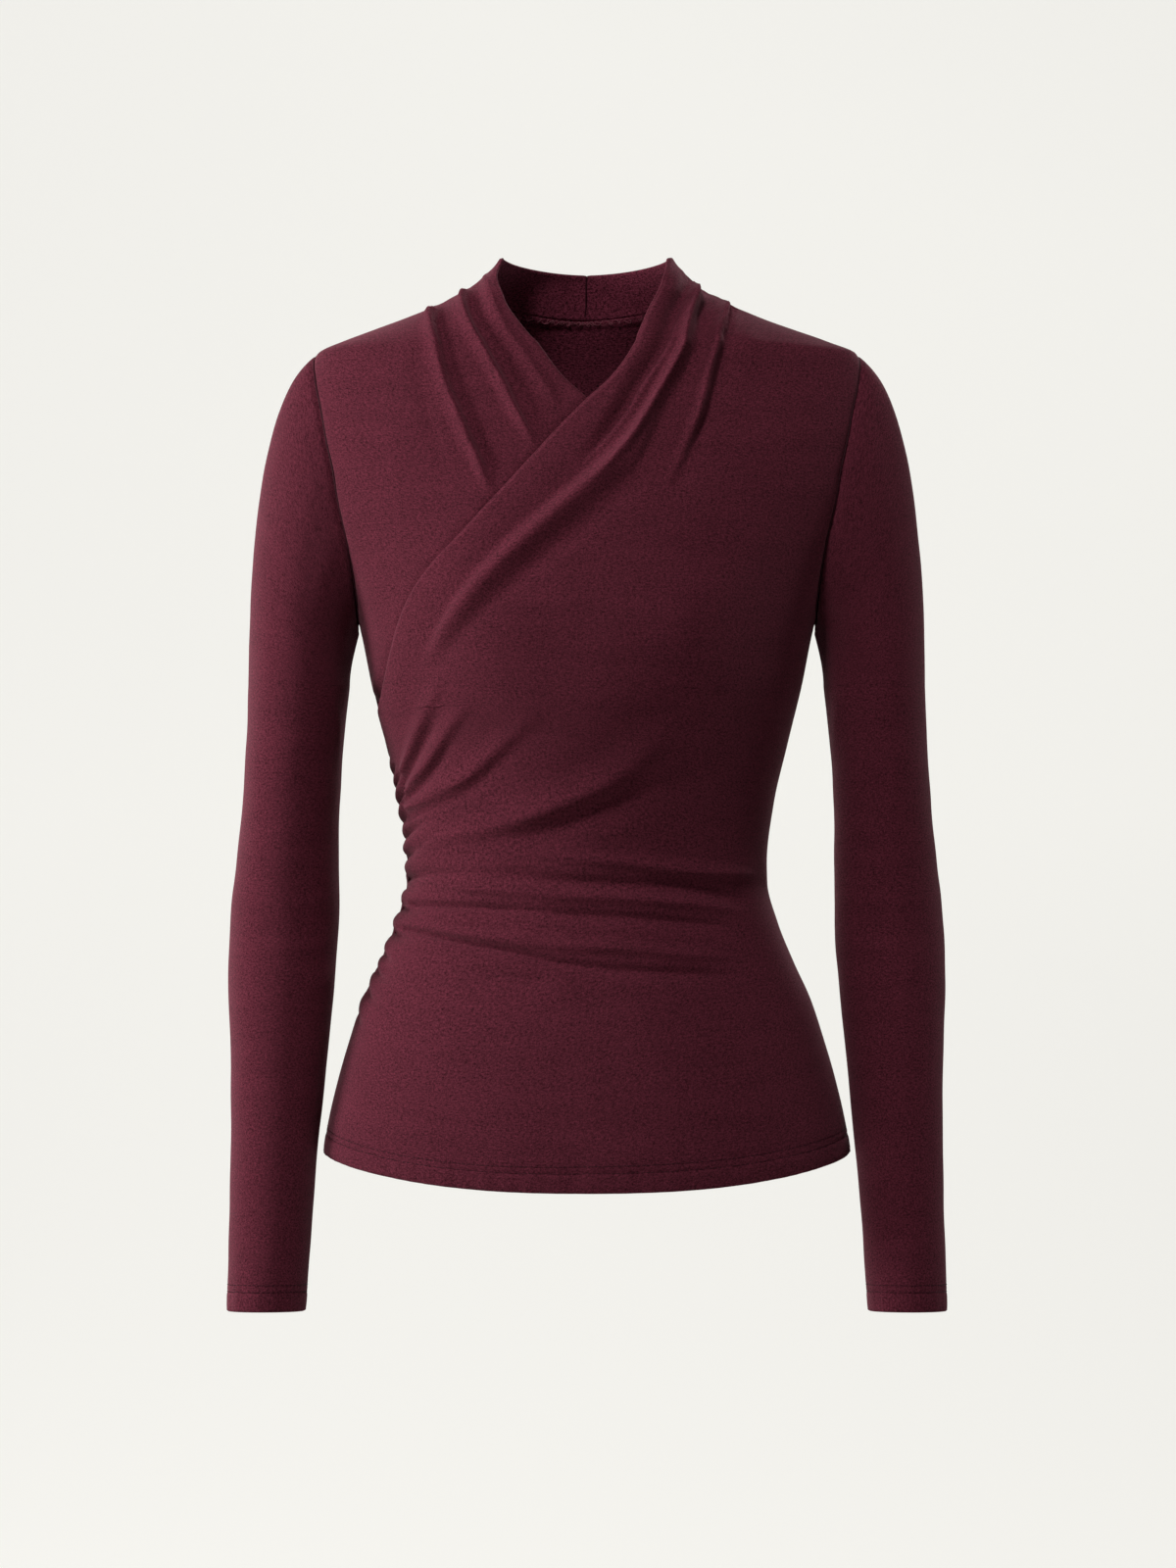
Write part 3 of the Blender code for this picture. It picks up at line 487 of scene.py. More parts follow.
def jerseyLook(name, recipe):
    look, shader, place = newLook(name, {
        "Metallic": 0, "Sheen Weight": recipe["sheen"], "Sheen Roughness": recipe["sheenSpread"],
        "Sheen Tint": recipe["sheenTint"], "Specular IOR Level": 0.12})
    onCloth = addNode(place.tree, "UVMap", 0, {}, uv_map="cloth")

    def speck(vector, scale, across=1, detail=2):
        mapped = addNode(place.tree, "Mapping", 0, {"Vector": vector, "Scale": (across, 1, 1)})
        return addNode(place.tree, "TexNoise", "Fac", {
            "Vector": mapped, "Scale": scale, "Detail": detail, "Roughness": 0.6})

    fibre = speck(onCloth, 820, 0.6)  # short strands across
    grain = speck(place, 1300, detail=1)  # single fibre ends
    cloud = speck(place, 70, detail=3)  # uneven brushing
    streak = speck(onCloth, 90, 0.12)  # yarn to yarn
    mixed = (fibre - 0.5) * recipe["fibre"] + (grain - 0.5) * recipe["grain"]
    mixed = mixed + (cloud - 0.5) * recipe["cloud"] + (streak - 0.5) * recipe["streak"]
    mixTones(mixed + 0.5, recipe["darkFibre"], recipe["lightFibre"]).into(shader, "Base Color")
    ((grain - 0.5) * 0.14 + recipe["roughness"]).into(shader, "Roughness")

    u, v = splitVector(onCloth)[:2]
    wale = (u * (math.pi / recipe["waleWidth"])).sine().size()
    course = (v * (2 * math.pi / recipe["courseHeight"]) + wale * 2.2).sine()
    relief = wale * 0.5 + course * 0.35 + fibre * recipe["napHeight"] + grain * 0.6
    makeBump(shader, relief, recipe["bump"], 0.00022)
    return look


def threadLook(name, dark, light):
    look, shader, place = newLook(name, {"Metallic": 0, "Specular IOR Level": 0.15})
    twist = addNode(place.tree, "TexNoise", "Fac", {"Vector": place, "Scale": 2600, "Detail": 1})
    mixTones(twist, dark, light).into(shader, "Base Color")
    (twist * 0.2 + 0.5).into(shader, "Roughness")
    makeBump(shader, twist, 0.5, 0.0001)
    return look


jerseyRecipe = {
    "darkFibre": (0.02, 0.0015, 0.0042, 1),
    "lightFibre": (0.184, 0.03, 0.0535, 1),
    "fibre": 1.4,
    "grain": 1.4,
    "cloud": 0.12,
    "streak": 0.2,
    "roughness": 0.92,
    "sheen": 0.2,
    "sheenSpread": 0.42,
    "sheenTint": (0.9, 0.38, 0.46, 1),
    "waleWidth": 0.00074,
    "courseHeight": 0.00058,
    "napHeight": 1.6,
    "bump": 0.45,
}
insideRecipe = dict(jerseyRecipe, darkFibre=(0.02, 0.0014, 0.0045, 1),
                    lightFibre=(0.25, 0.04, 0.074, 1), fibre=2.2, grain=1.8, cloud=0.2,
                    streak=0, napHeight=2.4, bump=0.6, sheen=0.16)

wineJersey = jerseyLook("wineJersey", jerseyRecipe)
wineInside = jerseyLook("wineJerseyInside", insideRecipe)
# dark thread for the hem and cuff stitches; the same colour is the painted shade of the cords along the
# collar's centre back and the armholes
darkThreadAndSeamShade = threadLook("darkThreadAndSeamShade", (0.017, 0.0015, 0.004, 1), (0.06, 0.008, 0.017, 1))
overlockThread = threadLook("overlockThread", (0.16, 0.03, 0.048, 1), (0.56, 0.19, 0.24, 1))
clothLooks = (wineJersey, wineInside)
print("materials made")


# the two fronts

overFolds = (
    # the hollow behind the free edge, then the first roll and its hollow
    (((69.5, 10), (64, -7), (58.5, -21), (53.5, -33), (44.5, -50), (34.5, -65), (24, -84), (10.5, -103),
      (-7, -124)), -5.6, 7.5, 3.2, 0.02, 0.28),
    (((74, 6), (72, -8), (69, -21), (65.5, -33), (61, -46), (51, -65), (41, -84), (29.5, -104),
      (14, -123), (-6, -142)), 6, 5, 4.2, 0.02, 0.35),
    (((51, -65), (41, -84), (30, -104), (14, -123), (-19, -153), (-53, -184), (-84, -219), (-108, -255)),
     5.5, 8, 11, 0.3, 0.25, "round"),
    (((80, 6), (78, -8), (75.5, -33), (70.5, -46), (62, -65), (51.5, -84), (42, -104), (32, -123),
      (16, -142)), -4, 4.4, 9, 0.02, 0.3),
    (((46, -100), (30, -125), (6, -146), (-12, -161), (-34, -180), (-58, -200), (-84, -226)),
     -2.6, 8, 12, 0.3, 0.4, "round"),
    # the second roll, nearer the shoulder
    (((96, -4), (93, -20), (86.5, -33), (82.5, -46), (77.5, -65), (73, -84), (65, -104), (57, -123),
      (46, -144)), 5.2, 6.3, 3.9, 0.02, 0.4),
    (((98.5, -8), (94.5, -26), (89.5, -45), (84.5, -65), (79, -84), (71, -104), (62, -124), (52, -145)),
     -4, 3.6, 10, 0.02, 0.4),
    (((112, -28), (106, -52), (98, -80)), 0.7, 12, 9, 0.3, 0.6),
    # short folds that run down into the side at the waist
    (((-88, -252), (-97, -268), (-105, -284), (-115, -306), (-121, -319)), 3.2, 8, 4.5, 0.5, 0.05),
    (((-92, -276), (-102, -293), (-113, -313), (-121, -326)), -1.8, 3.5, 5, 0.35, 0.05),
    (((-68, -264), (-79, -278), (-90, -294), (-102, -312), (-119, -331)), 3.6, 8.5, 5, 0.5, 0.05),
    (((-84, -296), (-98, -314), (-110, -328), (-121, -338)), -1.8, 4, 5.5, 0.35, 0.05),
    (((-20, -268), (-40, -288), (-57, -304), (-73, -319), (-93, -331), (-119, -342)),
     3.6, 10, 6, 0.6, 0.05),
    (((-28, -284), (-45, -300), (-62, -314), (-77, -326), (-98, -335), (-113, -343), (-121, -350)),
     -1.8, 5, 8, 0.6, 0.05),
    (((66, -272), (51, -292), (38, -306), (18, -322), (-4, -333), (-24, -341), (-45, -349), (-70, -356),
      (-108, -364)), 4.2, 15, 9, 0.4, 0.5),
    (((82, -312), (58, -324), (38, -329), (13, -339), (-7, -346), (-32, -354), (-62, -359),
      (-104, -374)), -2.3, 7, 15, 0.35, 0.55),
    (((-70, -353), (-80, -356), (-91, -359), (-108, -368)), 0.8, 4, 3, 0.3, 0.2),
    # the broad folds across the waist
    (((112, -384), (94, -383), (57, -380), (20, -375), (-18, -372), (-50, -368)), 3, 6.5, 5, 0.2, 0.45),
    (((110, -401), (94, -398), (57, -390.5), (20, -388.5), (-18, -386), (-49, -381), (-80, -380)),
     -2.8, 5, 8, 0.2, 0.35),
    (((108, -408), (94, -406), (57, -401), (20, -398), (-18, -396.5), (-49, -393.5), (-80, -392),
      (-106, -388)), 2.8, 6, 4.6, 0.2, 0.2),
    (((106, -420), (94, -417), (57, -412.5), (20, -409.5), (-18, -407.5), (-49, -405), (-80, -403.5),
      (-106, -403.5), (-118, -404)), -2.8, 4, 7, 0.2, 0.05),
    (((104, -438), (57, -434), (20, -430), (-18, -428.5), (-49, -425.5), (-80, -421.5), (-106, -415)),
     2.4, 7, 4.2, 0.2, 0.15),
    (((108, -448), (57, -445), (20, -443), (-18, -439), (-49, -431), (-80, -426), (-106, -421),
      (-123, -418)), -2.8, 4, 7, 0.2, 0.05),
    (((-12, -452), (-49, -447.5), (-80, -440)), -1.5, 4, 8, 0.3, 0.3),
    # the sharp bottoms of those creases towards the gathered seam
    (((16, -391), (-18, -387.5), (-49, -384), (-80, -382), (-112, -381)), -1.2, 1.4, 2.2, 0.5, 0.05),
    (((-12, -408), (-49, -405), (-80, -403), (-106, -402.5), (-121, -403)), -2.1, 1.5, 2.4, 0.5, 0.02),
    (((-36, -417), (-76, -416.5), (-100, -413), (-121, -411)), -1.3, 1.4, 2, 0.5, 0.02),
    (((24, -441), (-18, -438), (-49, -430.5), (-80, -425.5), (-106, -421), (-124, -418)),
     -2, 1.5, 2.6, 0.5, 0.02),
    (((-62, -445), (-100, -440), (-126, -437)), -1.4, 1.4, 2.2, 0.5, 0.02),
    (((-70, -450), (-82, -446), (-104, -440), (-131, -441)), 1, 6, 5, 0.4, 0.1),
    (((-76, -464), (-95, -457), (-113, -451), (-134, -446)), -1.1, 4, 5, 0.4, 0.1),
    (((-84, -484), (-119, -470), (-140, -462)), -0.7, 5, 6, 0.4, 0.1),
    (((66, -470), (20, -478), (-30, -480)), 0.6, 16, 14, 0.4, 0.4),
    # slow swells on the plain part of the chest
    (((120, -150), (88, -196), (40, -232)), 0.9, 26, 20, 0.4, 0.4),
    (((110, -268), (60, -278), (10, -286)), -0.7, 20, 18, 0.4, 0.4),
)
overFront = {
    "edge": {24: 55.4, 16: 54, 6: 51, -13.5: 44, -39: 32,
             -60.5: 18, -77.5: 0.6, -95.5: -17, -116: -35,
             -141.5: -58, -168: -82.5, -186: -100, -205.5: -113.5,
             -222: -121, -241: -126.5, -267: -133.5, -281: -137.4},
    "fan": {-560: 0, -466: -0.34, -429: -0.18, -399: 0,
            -370: 0.38, -350: 0.6, -336: 0.66, -318: 0.52,
            -300: 0.3, -281: 0.12, -230: 0, 40: 0},
    # gathers at the side seam: height at the seam, ridge, half width, length
    "gathers": (
        (-318, 1.2, 4.2, 26), (-329, 1.4, 4.2, 28), (-339, 2.2, 4.6, 38), (-349.5, 2.1, 4.4, 54),
        (-360.5, 1.4, 4.2, 42), (-370.5, 2.4, 4.6, 66), (-381.5, 1.7, 4.2, 56), (-399, 2.1, 5, 66),
        (-414.5, 2.2, 4.8, 66), (-429.5, 1.6, 4.4, 60), (-440, 1.2, 3.8, 46), (-450, 1.4, 4.2, 62),
        (-466, 1.3, 4.8, 54),
    ),
    # the small tucks between them
    "tucks": (
        (-311, -1.6, 1.9, 20), (-324, -2.4, 2, 30), (-334, -2.6, 2, 40), (-344.5, -3.2, 2.1, 62),
        (-355, -2.6, 2, 40), (-365.5, -3.3, 2, 66), (-376, -2.8, 2.1, 46), (-388.5, -3.4, 2.2, 84),
        (-393.5, -1.8, 1.7, 26), (-406.5, -3.2, 2.1, 72), (-421.5, -3.5, 2.1, 76), (-435, -2.6, 1.9, 52),
        (-445, -2.6, 1.9, 60), (-457.5, -2.8, 2, 56), (-474, -1.9, 2.2, 40),
    ),
    "rows": ((22.8, -9, 1.7), (-9, -42, 1.3), (-42, -300, 2.35),
             (-300, -482, 1.2), (-482, -545, 2.5), (-545, -567, 1.1)),
    "columns": 130,
    "flat": (0.5, 0.68),
    "area": 0.215,
    "held": "gathered",
}
gatherFan = {"climb": 60, "settle": (110, 290)}
overEdgeX = curveOf(overFront["edge"])
fanRise = curveOf(overFront["fan"])


def overStart(z):
    return float(turnAtX(overEdgeX(z), z)) if z > cloth["lapEnd"] else -90


def gatherRun(distance):  # the fan climbs, then settles level
    climb = gatherFan["climb"] * (1 - np.exp(-distance / gatherFan["climb"]))
    return climb * fade(distance, *gatherFan["settle"])


def gatherRelief(distance, z, rows, start=9):
    total = np.zeros_like(z)
    for place, height, width, length in rows:
        climb = fanRise(place) * gatherRun(distance)
        ridge = np.exp(-((z - place - climb) / width) ** 2)
        total += height * ridge * ease(distance, 0, start) * fade(distance, length * 0.3, length)
    return total


def freeEdgeLine():
    heights = np.linspace(cloth["collarTop"], cloth["lapEnd"] + 0.01, 110)
    return bodyPoint(np.array([overStart(z) for z in heights]), heights, True)


def gapToLine(points, line):
    shape = points.shape[:-1]
    points = points.reshape(-1, 3)
    parts = [nearestOnLine(part, line) for part in np.array_split(points, 12)]
    gap, along = (np.concatenate([part[k] for part in parts]) for k in range(2))
    return gap.reshape(shape), along.reshape(shape)


def hemRelief(turn, above, phase):  # above is the height over the hem edge
    low, high = cloth["stitchRows"]
    sewn = -0.4 * np.exp(-((above - low) / 1.1) ** 2) - 0.22 * np.exp(-(above - high) ** 2)
    band = 0.25 * ease(above, 0.5, 4) * fade(above, 9, 12)
    wave = (np.sin(turn * 1.35 + phase) + 0.6 * np.sin(turn * 2.9 + phase * 2.3)
            + 0.5 * np.sin(turn * 0.61 - phase))
    return sewn + band + 0.22 * wave * fade(above, 10, 26)


def hemWall(above):
    return cloth["wall"] + (cloth["hemWall"] - cloth["wall"]) * fade(above, 15.5, 17.5)


def edgeTurn(run):  # a front's free edge is turned in
    return 0.5 * fade(run, 1, 11)


def overForm(turn, row, run, passed=0):
    climb = gatherRun(run + passed) - gatherRun(passed)
    z = row - hemFall(turn, row) + fanRise(row) * climb
    base, normal = bodySurface(turn, z, True)
    edgeGap, along = gapToLine(base, freeEdgeLine())
    fromSide = 90 - np.abs(turn)
    toSeam = ease(fromSide, 0, np.where(z > cloth["shoulderTip"], 2.5, 7))
    raised = cloth["lapRaise"] * fade(edgeGap, 9, 34) * fade(along, 0.93, 1)
    lift = raised * ease(fromSide, 0, 9) * ease(cloth["collarTop"] - z, 3, 30)
    lift += bodyFolds(base, overFolds, True) * toSeam
    fromSeam = np.where(z < cloth["lapEnd"] + 12, run, 300)
    below = ease(cloth["lapEnd"] + 10 - z, 0, 20)
    lift += gatherRelief(fromSeam, z, overFront["gathers"]) * below
    lift += gatherRelief(fromSeam, z, overFront["tucks"], 3) * below
    lift += unevenness(base, 34, 0.5) * ease(fromSide, 0, 12)
    lift += hemRelief(turn, row - cloth["hem"], 0.4) * ease(-row, 520, 545)
    lowest, soft = cloth["lapClear"], cloth["lapSoft"]
    kept = lowest + soft * np.log1p(np.exp((lift - lowest) / soft))
    overlapped = ease(z, cloth["underHem"] - 16, cloth["underHem"] - 4)
    return base, normal, lift + (kept - lift) * overlapped


def makeOverFront():
    across = np.linspace(0, 1, overFront["columns"] - 1)
    spacing = (1 - 0.62 * np.exp(-across * 22)) * (0.75 + 0.6 * across)
    shares = np.concatenate([[0], np.cumsum(spacing)]) / spacing.sum()
    last = lambda z: sideTurn(z, True)
    turn, row, run, passed = panelGrid(overFront, shares, overStart, last, True)
    base, normal, lift = overForm(turn, row, run, passed)
    lift += seamDip(run[:, -1:] - run)
    sewnSide = ease(cloth["lapEnd"] - row, -4, 6)
    lift += seamDip(run, 0.5, 2) * sewnSide + seamDip(run, 1.1, 1.8) * (1 - sewnSide)
    wall = hemWall(row - cloth["hem"]) + edgeTurn(run) * (1 - sewnSide)
    uv = np.stack([run + passed, row], axis=-1)
    sewPanel("overFront", "front_over", (base, normal), lift, wall, uv, True)


underFolds = (
    (((-68, 14), (-63, 0), (-52, -28), (-38, -51), (-24, -73), (-14, -95)), 2.2, 8, 4.5, 0.02, 0.2),
    (((-73, 8), (-70, -4), (-66, -24), (-52, -51), (-45, -64), (-31, -89), (-25, -106)),
     -1.4, 6, 6, 0.1, 0.1),
    (((-81, 3), (-79, -8), (-74, -26), (-65, -46), (-54.5, -65), (-46, -84), (-35, -104), (-27, -118)),
     5.6, 6, 3, 0.02, 0.1),
    (((-76, -8), (-70, -26), (-61, -46), (-50.5, -65), (-42, -84), (-31, -104)),
     -1.6, 2.6, 5, 0.05, 0.1),
    (((-94, -5), (-95, -17), (-94, -32), (-87, -57), (-77, -83), (-66, -111), (-53, -138)),
     -1.2, 5, 8, 0.05, 0.1),
    (((-103, -8), (-100, -18), (-96, -45), (-91, -65), (-83.5, -84), (-75.5, -104), (-67, -123),
      (-56, -150)), 5.3, 6.5, 3, 0.02, 0.12),
    (((-97, -18), (-92, -45), (-87, -65), (-79, -84), (-71, -104), (-62, -123), (-52, -146)),
     -1.5, 2.6, 5, 0.05, 0.1),
    (((-109, -26), (-110, -48), (-103, -80), (-96, -110), (-88, -138)), -0.8, 8, 7, 0.3, 0.4),
    (((-128, -60), (-126, -110), (-118, -160)), 0.6, 18, 16, 0.4, 0.4),
    (((-150, -186), (-138, -196), (-118, -200)), 0.7, 8, 6, 0.3, 0.5),
)
underFront = {  # its edge mirrors the other one below the crossing
    "edge": {24: -56.4, 11: -59.8, -6: -54, -24.5: -42.5, -44.5: -28.5, -60.5: -17, -77: 0.6,
             **{z: -x for z, x in overFront["edge"].items() if z < -90}},
    "rows": ((22.8, -9, 1.6), (-9, -42, 1.3), (-42, -314, 2.4)),
    "columns": 112,
    "flat": (0.42, 0.44),
    "area": 0.086,
    "held": "hung",
}
underEdgeX = curveOf(underFront["edge"])


def underStart(z):
    return float(turnAtX(underEdgeX(z), z)) if z > cloth["lapEnd"] else 90


def makeUnderFront():
    shares = np.linspace(0, 1, underFront["columns"])
    last = lambda z: -sideTurn(z, True)
    turn, z, run = panelGrid(underFront, shares, underStart, last, True)[:3]
    base, normal = bodySurface(turn, z, True)
    edgeGap, along = gapToLine(base, freeEdgeLine())
    overTurn = np.array([overStart(height) for height in z[:, 0]])[:, None]
    covered = (z < cloth["lapEnd"]) | (turn > overTurn)
    signed = np.where(covered, edgeGap, -edgeGap)
    sooner = ease(along, 0.78, 0.97)
    sunk = ease(signed, -5 - 12 * sooner, 11 - 12 * sooner)
    fromSide = 90 - np.abs(turn)
    toSeam = ease(fromSide, 0, np.where(z > cloth["shoulderTip"], 2.5, 9))
    folds = bodyFolds(base, underFolds, True) * ease(-signed, 1, 22)
    folds += unevenness(base, 34, 0.5) * ease(-signed, 1, 22)
    lift = folds * toSeam * (1 - sunk) - cloth["lapDepth"] * sunk
    lift += seamDip(run[:, -1:] - run) + seamDip(run, 0.8, 1.8) * (1 - sunk)
    wall = cloth["wall"] + edgeTurn(run) * (1 - sunk)
    uv = np.stack([run, z], axis=-1)
    sewPanel("underFront", "front_under", (base, normal), lift, wall, uv, True)


makeOverFront()
makeUnderFront()
print("fronts made")


# back and collar

backFolds = (
    (((-92, -20), (-74, -48), (-56, -84), (-38, -128)), 2.6, 12, 8, 0.3, 0.5),
    (((90, -20), (74, -44), (58, -74), (44, -112)), 2.2, 12, 8, 0.3, 0.5),
    (((106, -318), (70, -333), (28, -341), (-18, -341), (-60, -334), (-112, -318)), 4.2, 9, 6, 0.3, 0.3),
    (((100, -330), (66, -346), (24, -353), (-22, -353), (-66, -345), (-112, -330)), -3, 5, 9, 0.3, 0.3),
    (((70, -362), (24, -369), (-24, -370), (-68, -362), (-112, -347)), 4.4, 8.5, 5.5, 0.35, 0.2),
    (((64, -374), (18, -381), (-30, -381), (-72, -373), (-114, -358)), -3, 4.5, 8, 0.35, 0.2),
    (((108, -380), (70, -390), (26, -398), (-20, -398), (-60, -391)), 3.8, 8, 5.5, 0.2, 0.45),
    (((110, -391), (72, -402), (24, -410), (-26, -409), (-66, -401)), -2.6, 4.5, 8.5, 0.2, 0.45),
    (((44, -424), (-6, -431), (-56, -429), (-112, -417)), 3.2, 8, 6.5, 0.4, 0.2),
    (((38, -436), (-12, -443), (-62, -440), (-114, -428)), -2, 5, 9, 0.4, 0.2),
    (((110, -296), (74, -309), (36, -314)), 2.4, 8, 5, 0.2, 0.6),
    (((-60, -306), (-92, -296), (-118, -280)), 2, 7, 5, 0.6, 0.15),
    (((132, -226), (112, -256), (88, -286), (60, -306)), 2.2, 9, 6, 0.2, 0.6),
    (((-130, -226), (-112, -254), (-92, -282), (-66, -300)), 2, 9, 6, 0.2, 0.6),
    (((70, -462), (20, -470), (-40, -468)), 1, 14, 12, 0.4, 0.4),
)
backPanel = {
    # the gathered seam also pulls small tucks into the back
    "tucks": (
        (-322, 0.7, 3.2, 16), (-335, 0.9, 3.4, 24), (-347, 0.8, 3.2, 18), (-359, 1, 3.4, 26),
        (-372, 0.9, 3.4, 22), (-386, 1, 3.8, 30), (-402, 0.9, 3.8, 26), (-418, 0.9, 3.6, 22),
        (-433, 0.7, 3.4, 20), (-448, 0.7, 3.4, 22), (-462, 0.5, 3.6, 14),
    ),
    "rows": ((2.55, -42, 1.5), (-42, -300, 2.7), (-300, -470, 1.9),
             (-470, -545, 2.8), (-545, -567, 1.1)),
    "columns": 139,
    "flat": (0.48, 0.6),
    "area": 0.226,
    "held": "hung",
}


def neckFall(turn, row):  # the back neck is lower at its centre
    return cloth["neckDrop"] * middleShare(turn) * ease(row, -62, 2.6)


def backForm(turn, row, run):
    z = row - hemFall(turn, row) - neckFall(turn, row)
    base, normal = bodySurface(turn, z, False)
    fromSide = 90 - np.abs(turn)
    lift = bodyFolds(base, backFolds, False) * ease(fromSide, 0, 9)
    side = ease(cloth["lapEnd"] + 10 - z, 0, 20)
    lift += gatherRelief(run, z, backPanel["tucks"], 5) * side
    lift += unevenness(base, 36, 0.6) * ease(fromSide, 0, 12)
    lift += hemRelief(turn, row - cloth["hem"], 1.9) * ease(-row, 520, 545)
    return base, normal, lift


def makeBack():
    shares = np.linspace(0, 1, backPanel["columns"])
    first, last = lambda z: -sideTurn(z, False), lambda z: sideTurn(z, False)
    turn, row, run = panelGrid(backPanel, shares, first, last, False)[:3]
    base, normal, lift = backForm(turn, row, run)
    lift += seamDip(run) + seamDip(run[:, -1:] - run)
    belowNeck = 2.6 - row
    lift += seamDip(belowNeck, 0.5, 1.8)
    seamRoll = 0.9 * ease(belowNeck, -0.5, 1.5) * fade(belowNeck, 4.5, 7)
    wall = hemWall(row - cloth["hem"]) + seamRoll
    uv = np.stack([run - run[:, -1:] / 2, row], axis=-1)
    sewPanel("backPanel", "back", (base, normal), lift, wall, uv, False)


backCollar = {"steps": 64, "levels": 18, "wall": 1.7, "flat": (0.105, 0.034), "area": 0.0031,
              "held": "hung"}


def makeCollar(name, nodeName, side):
    reach = 90 * np.linspace(0, 1, backCollar["steps"] + 1)
    turn = (side * (90 - reach))[:, None] * np.ones(backCollar["levels"] + 1)
    up = np.linspace(0, 1, backCollar["levels"] + 1)[None, :]
    low = cloth["neckPoint"] - cloth["neckDrop"] * middleShare(turn) + cloth["seamGap"] / 2
    high = cloth["collarTop"] - cloth["collarDip"] * middleShare(turn)
    z = low + (high - low) * up
    outer, normal = bodySurface(turn, z, False)
    fromCentre = np.abs(outer[..., 0])
    lift = seamDip(fromCentre, 0.6, 1.8) + seamDip(z - low, 0.5, 1.8)
    lift += seamDip(np.abs(outer[..., 1]), 0.5, 1.8)  # where it meets the fronts
    lift += 0.5 * np.sin(up * math.pi) + unevenness(outer, 18, 0.25)
    outer = outer + normal * lift[..., None]
    outer[..., 1] += cloth["seamGap"] / 2
    outer[-1, :, 0] = side * 0.2
    normal[-1, :, 0] = 0
    middle = backCollar["levels"] // 2
    uv = np.stack([lengthAlong(outer[:, middle])[:, None] * np.ones_like(up), z], axis=-1)
    wall = backCollar["wall"] - 0.9 * np.exp(-(fromCentre / 1.3) ** 2)
    handIn(clothShell(name, outer, -unit(normal), wall, uv, False), nodeName)


makeBack()
makeCollar("collarRight", "collar_back_right", -1)
makeCollar("collarLeft", "collar_back_left", 1)
print("back and collar made")


# sleeves

# here a path is (turn round the sleeve, height): 0 outside, 90 front, 180 inside
sleeveFolds = (
    (((60, -392), (105, -404), (160, -398)), 0.8, 10, 7, 0.4, 0.4),
    (((70, -424), (115, -432), (170, -422)), 0.9, 10, 8, 0.4, 0.4),
    (((88, -452), (130, -456), (184, -446)), 0.6, 9, 8, 0.4, 0.4),
    (((195, -408), (240, -420), (290, -414)), 0.7, 10, 8, 0.4, 0.4),
    (((120, -258), (150, -282), (168, -318)), 0.8, 9, 8, 0.3, 0.5),
    (((200, -262), (222, -290), (236, -330)), 0.8, 9, 8, 0.3, 0.5),
    (((50, -560), (100, -574), (150, -566)), 0.5, 12, 10, 0.4, 0.4),
    (((20, -300), (44, -330), (60, -372)), 0.5, 16, 14, 0.4, 0.5),
)
sleeve = {
    "sections": {  # height: centre x, centre y, half width, half depth
        -260: (190.8, 2, 33.4, 41),
        -299: (193.7, 3, 32.2, 39.5),
        -338: (196.5, 4, 32.2, 38),
        -377: (198.6, 4.5, 34, 37),
        -403: (200, 4, 35.6, 36.5),
        -429: (201.2, 2, 36, 36),
        -455: (202.2, -2, 35.2, 35),
        -494: (203, -8, 32.6, 33),
        -533: (204.2, -15, 30.2, 30.5),
        -585: (206, -25, 27.8, 28),
        -637: (207.6, -35.5, 26.4, 25.8),
        -667: (208.6, -42, 25.6, 25),
    },
    "head": {  # round the armhole: way out x, y, z, pull out, pull down
        0: (0.82, 0, -0.57, 150, 220),
        45: (0.86, -0.06, -0.46, 110, 190),
        90: (0.9, -0.12, -0.36, 78, 130),
        135: (0.74, -0.22, -0.62, 52, 90),
        180: (0.34, 0, -0.94, 22, 30),
        225: (0.74, 0.2, -0.62, 52, 90),
        270: (0.88, 0.22, -0.36, 78, 130),
        315: (0.84, 0.24, -0.46, 110, 190),
        360: (0.82, 0, -0.57, 150, 220),
    },
    "headSteps": 44,
    "headTop": -260,
    "degree": 0.62,  # length of one degree round the sleeve
    "rows": ((-262, -645, 2.5), (-645, -667, 1.1)),
    "around": 96,
    "flat": (0.34, 0.62),
    "area": 0.122,
    "held": "hung",
}
sleeveX, sleeveY, sleeveWide, sleeveDeep = tableCurves(sleeve["sections"])


def sleeveRing(z, turns, tilt=0):
    angle = np.radians(turns)
    y = -sleeveDeep(z) * np.sin(angle)
    return np.stack([sleeveX(z) + sleeveWide(z) * np.cos(angle), sleeveY(z) + y,
                     z - y * tilt], axis=-1)


def armholeRing(half):  # down the front, up the back
    middle = (cloth["shoulderTip"] + cloth["underarm"]) / 2
    reach = (cloth["shoulderTip"] - cloth["underarm"]) / 2
    heights = [middle + reach * math.cos(math.pi * i / half) for i in range(half + 1)]
    ring, walls = [], []
    for front, places in ((True, heights), (False, heights[::-1][1:-1])):
        for z in places:
            turn = sideTurn(z, front)
            point, normal = bodySurface(turn, z, front)
            ring.append(point)
            walls.append(-normal)
    return np.array(ring), np.array(walls)


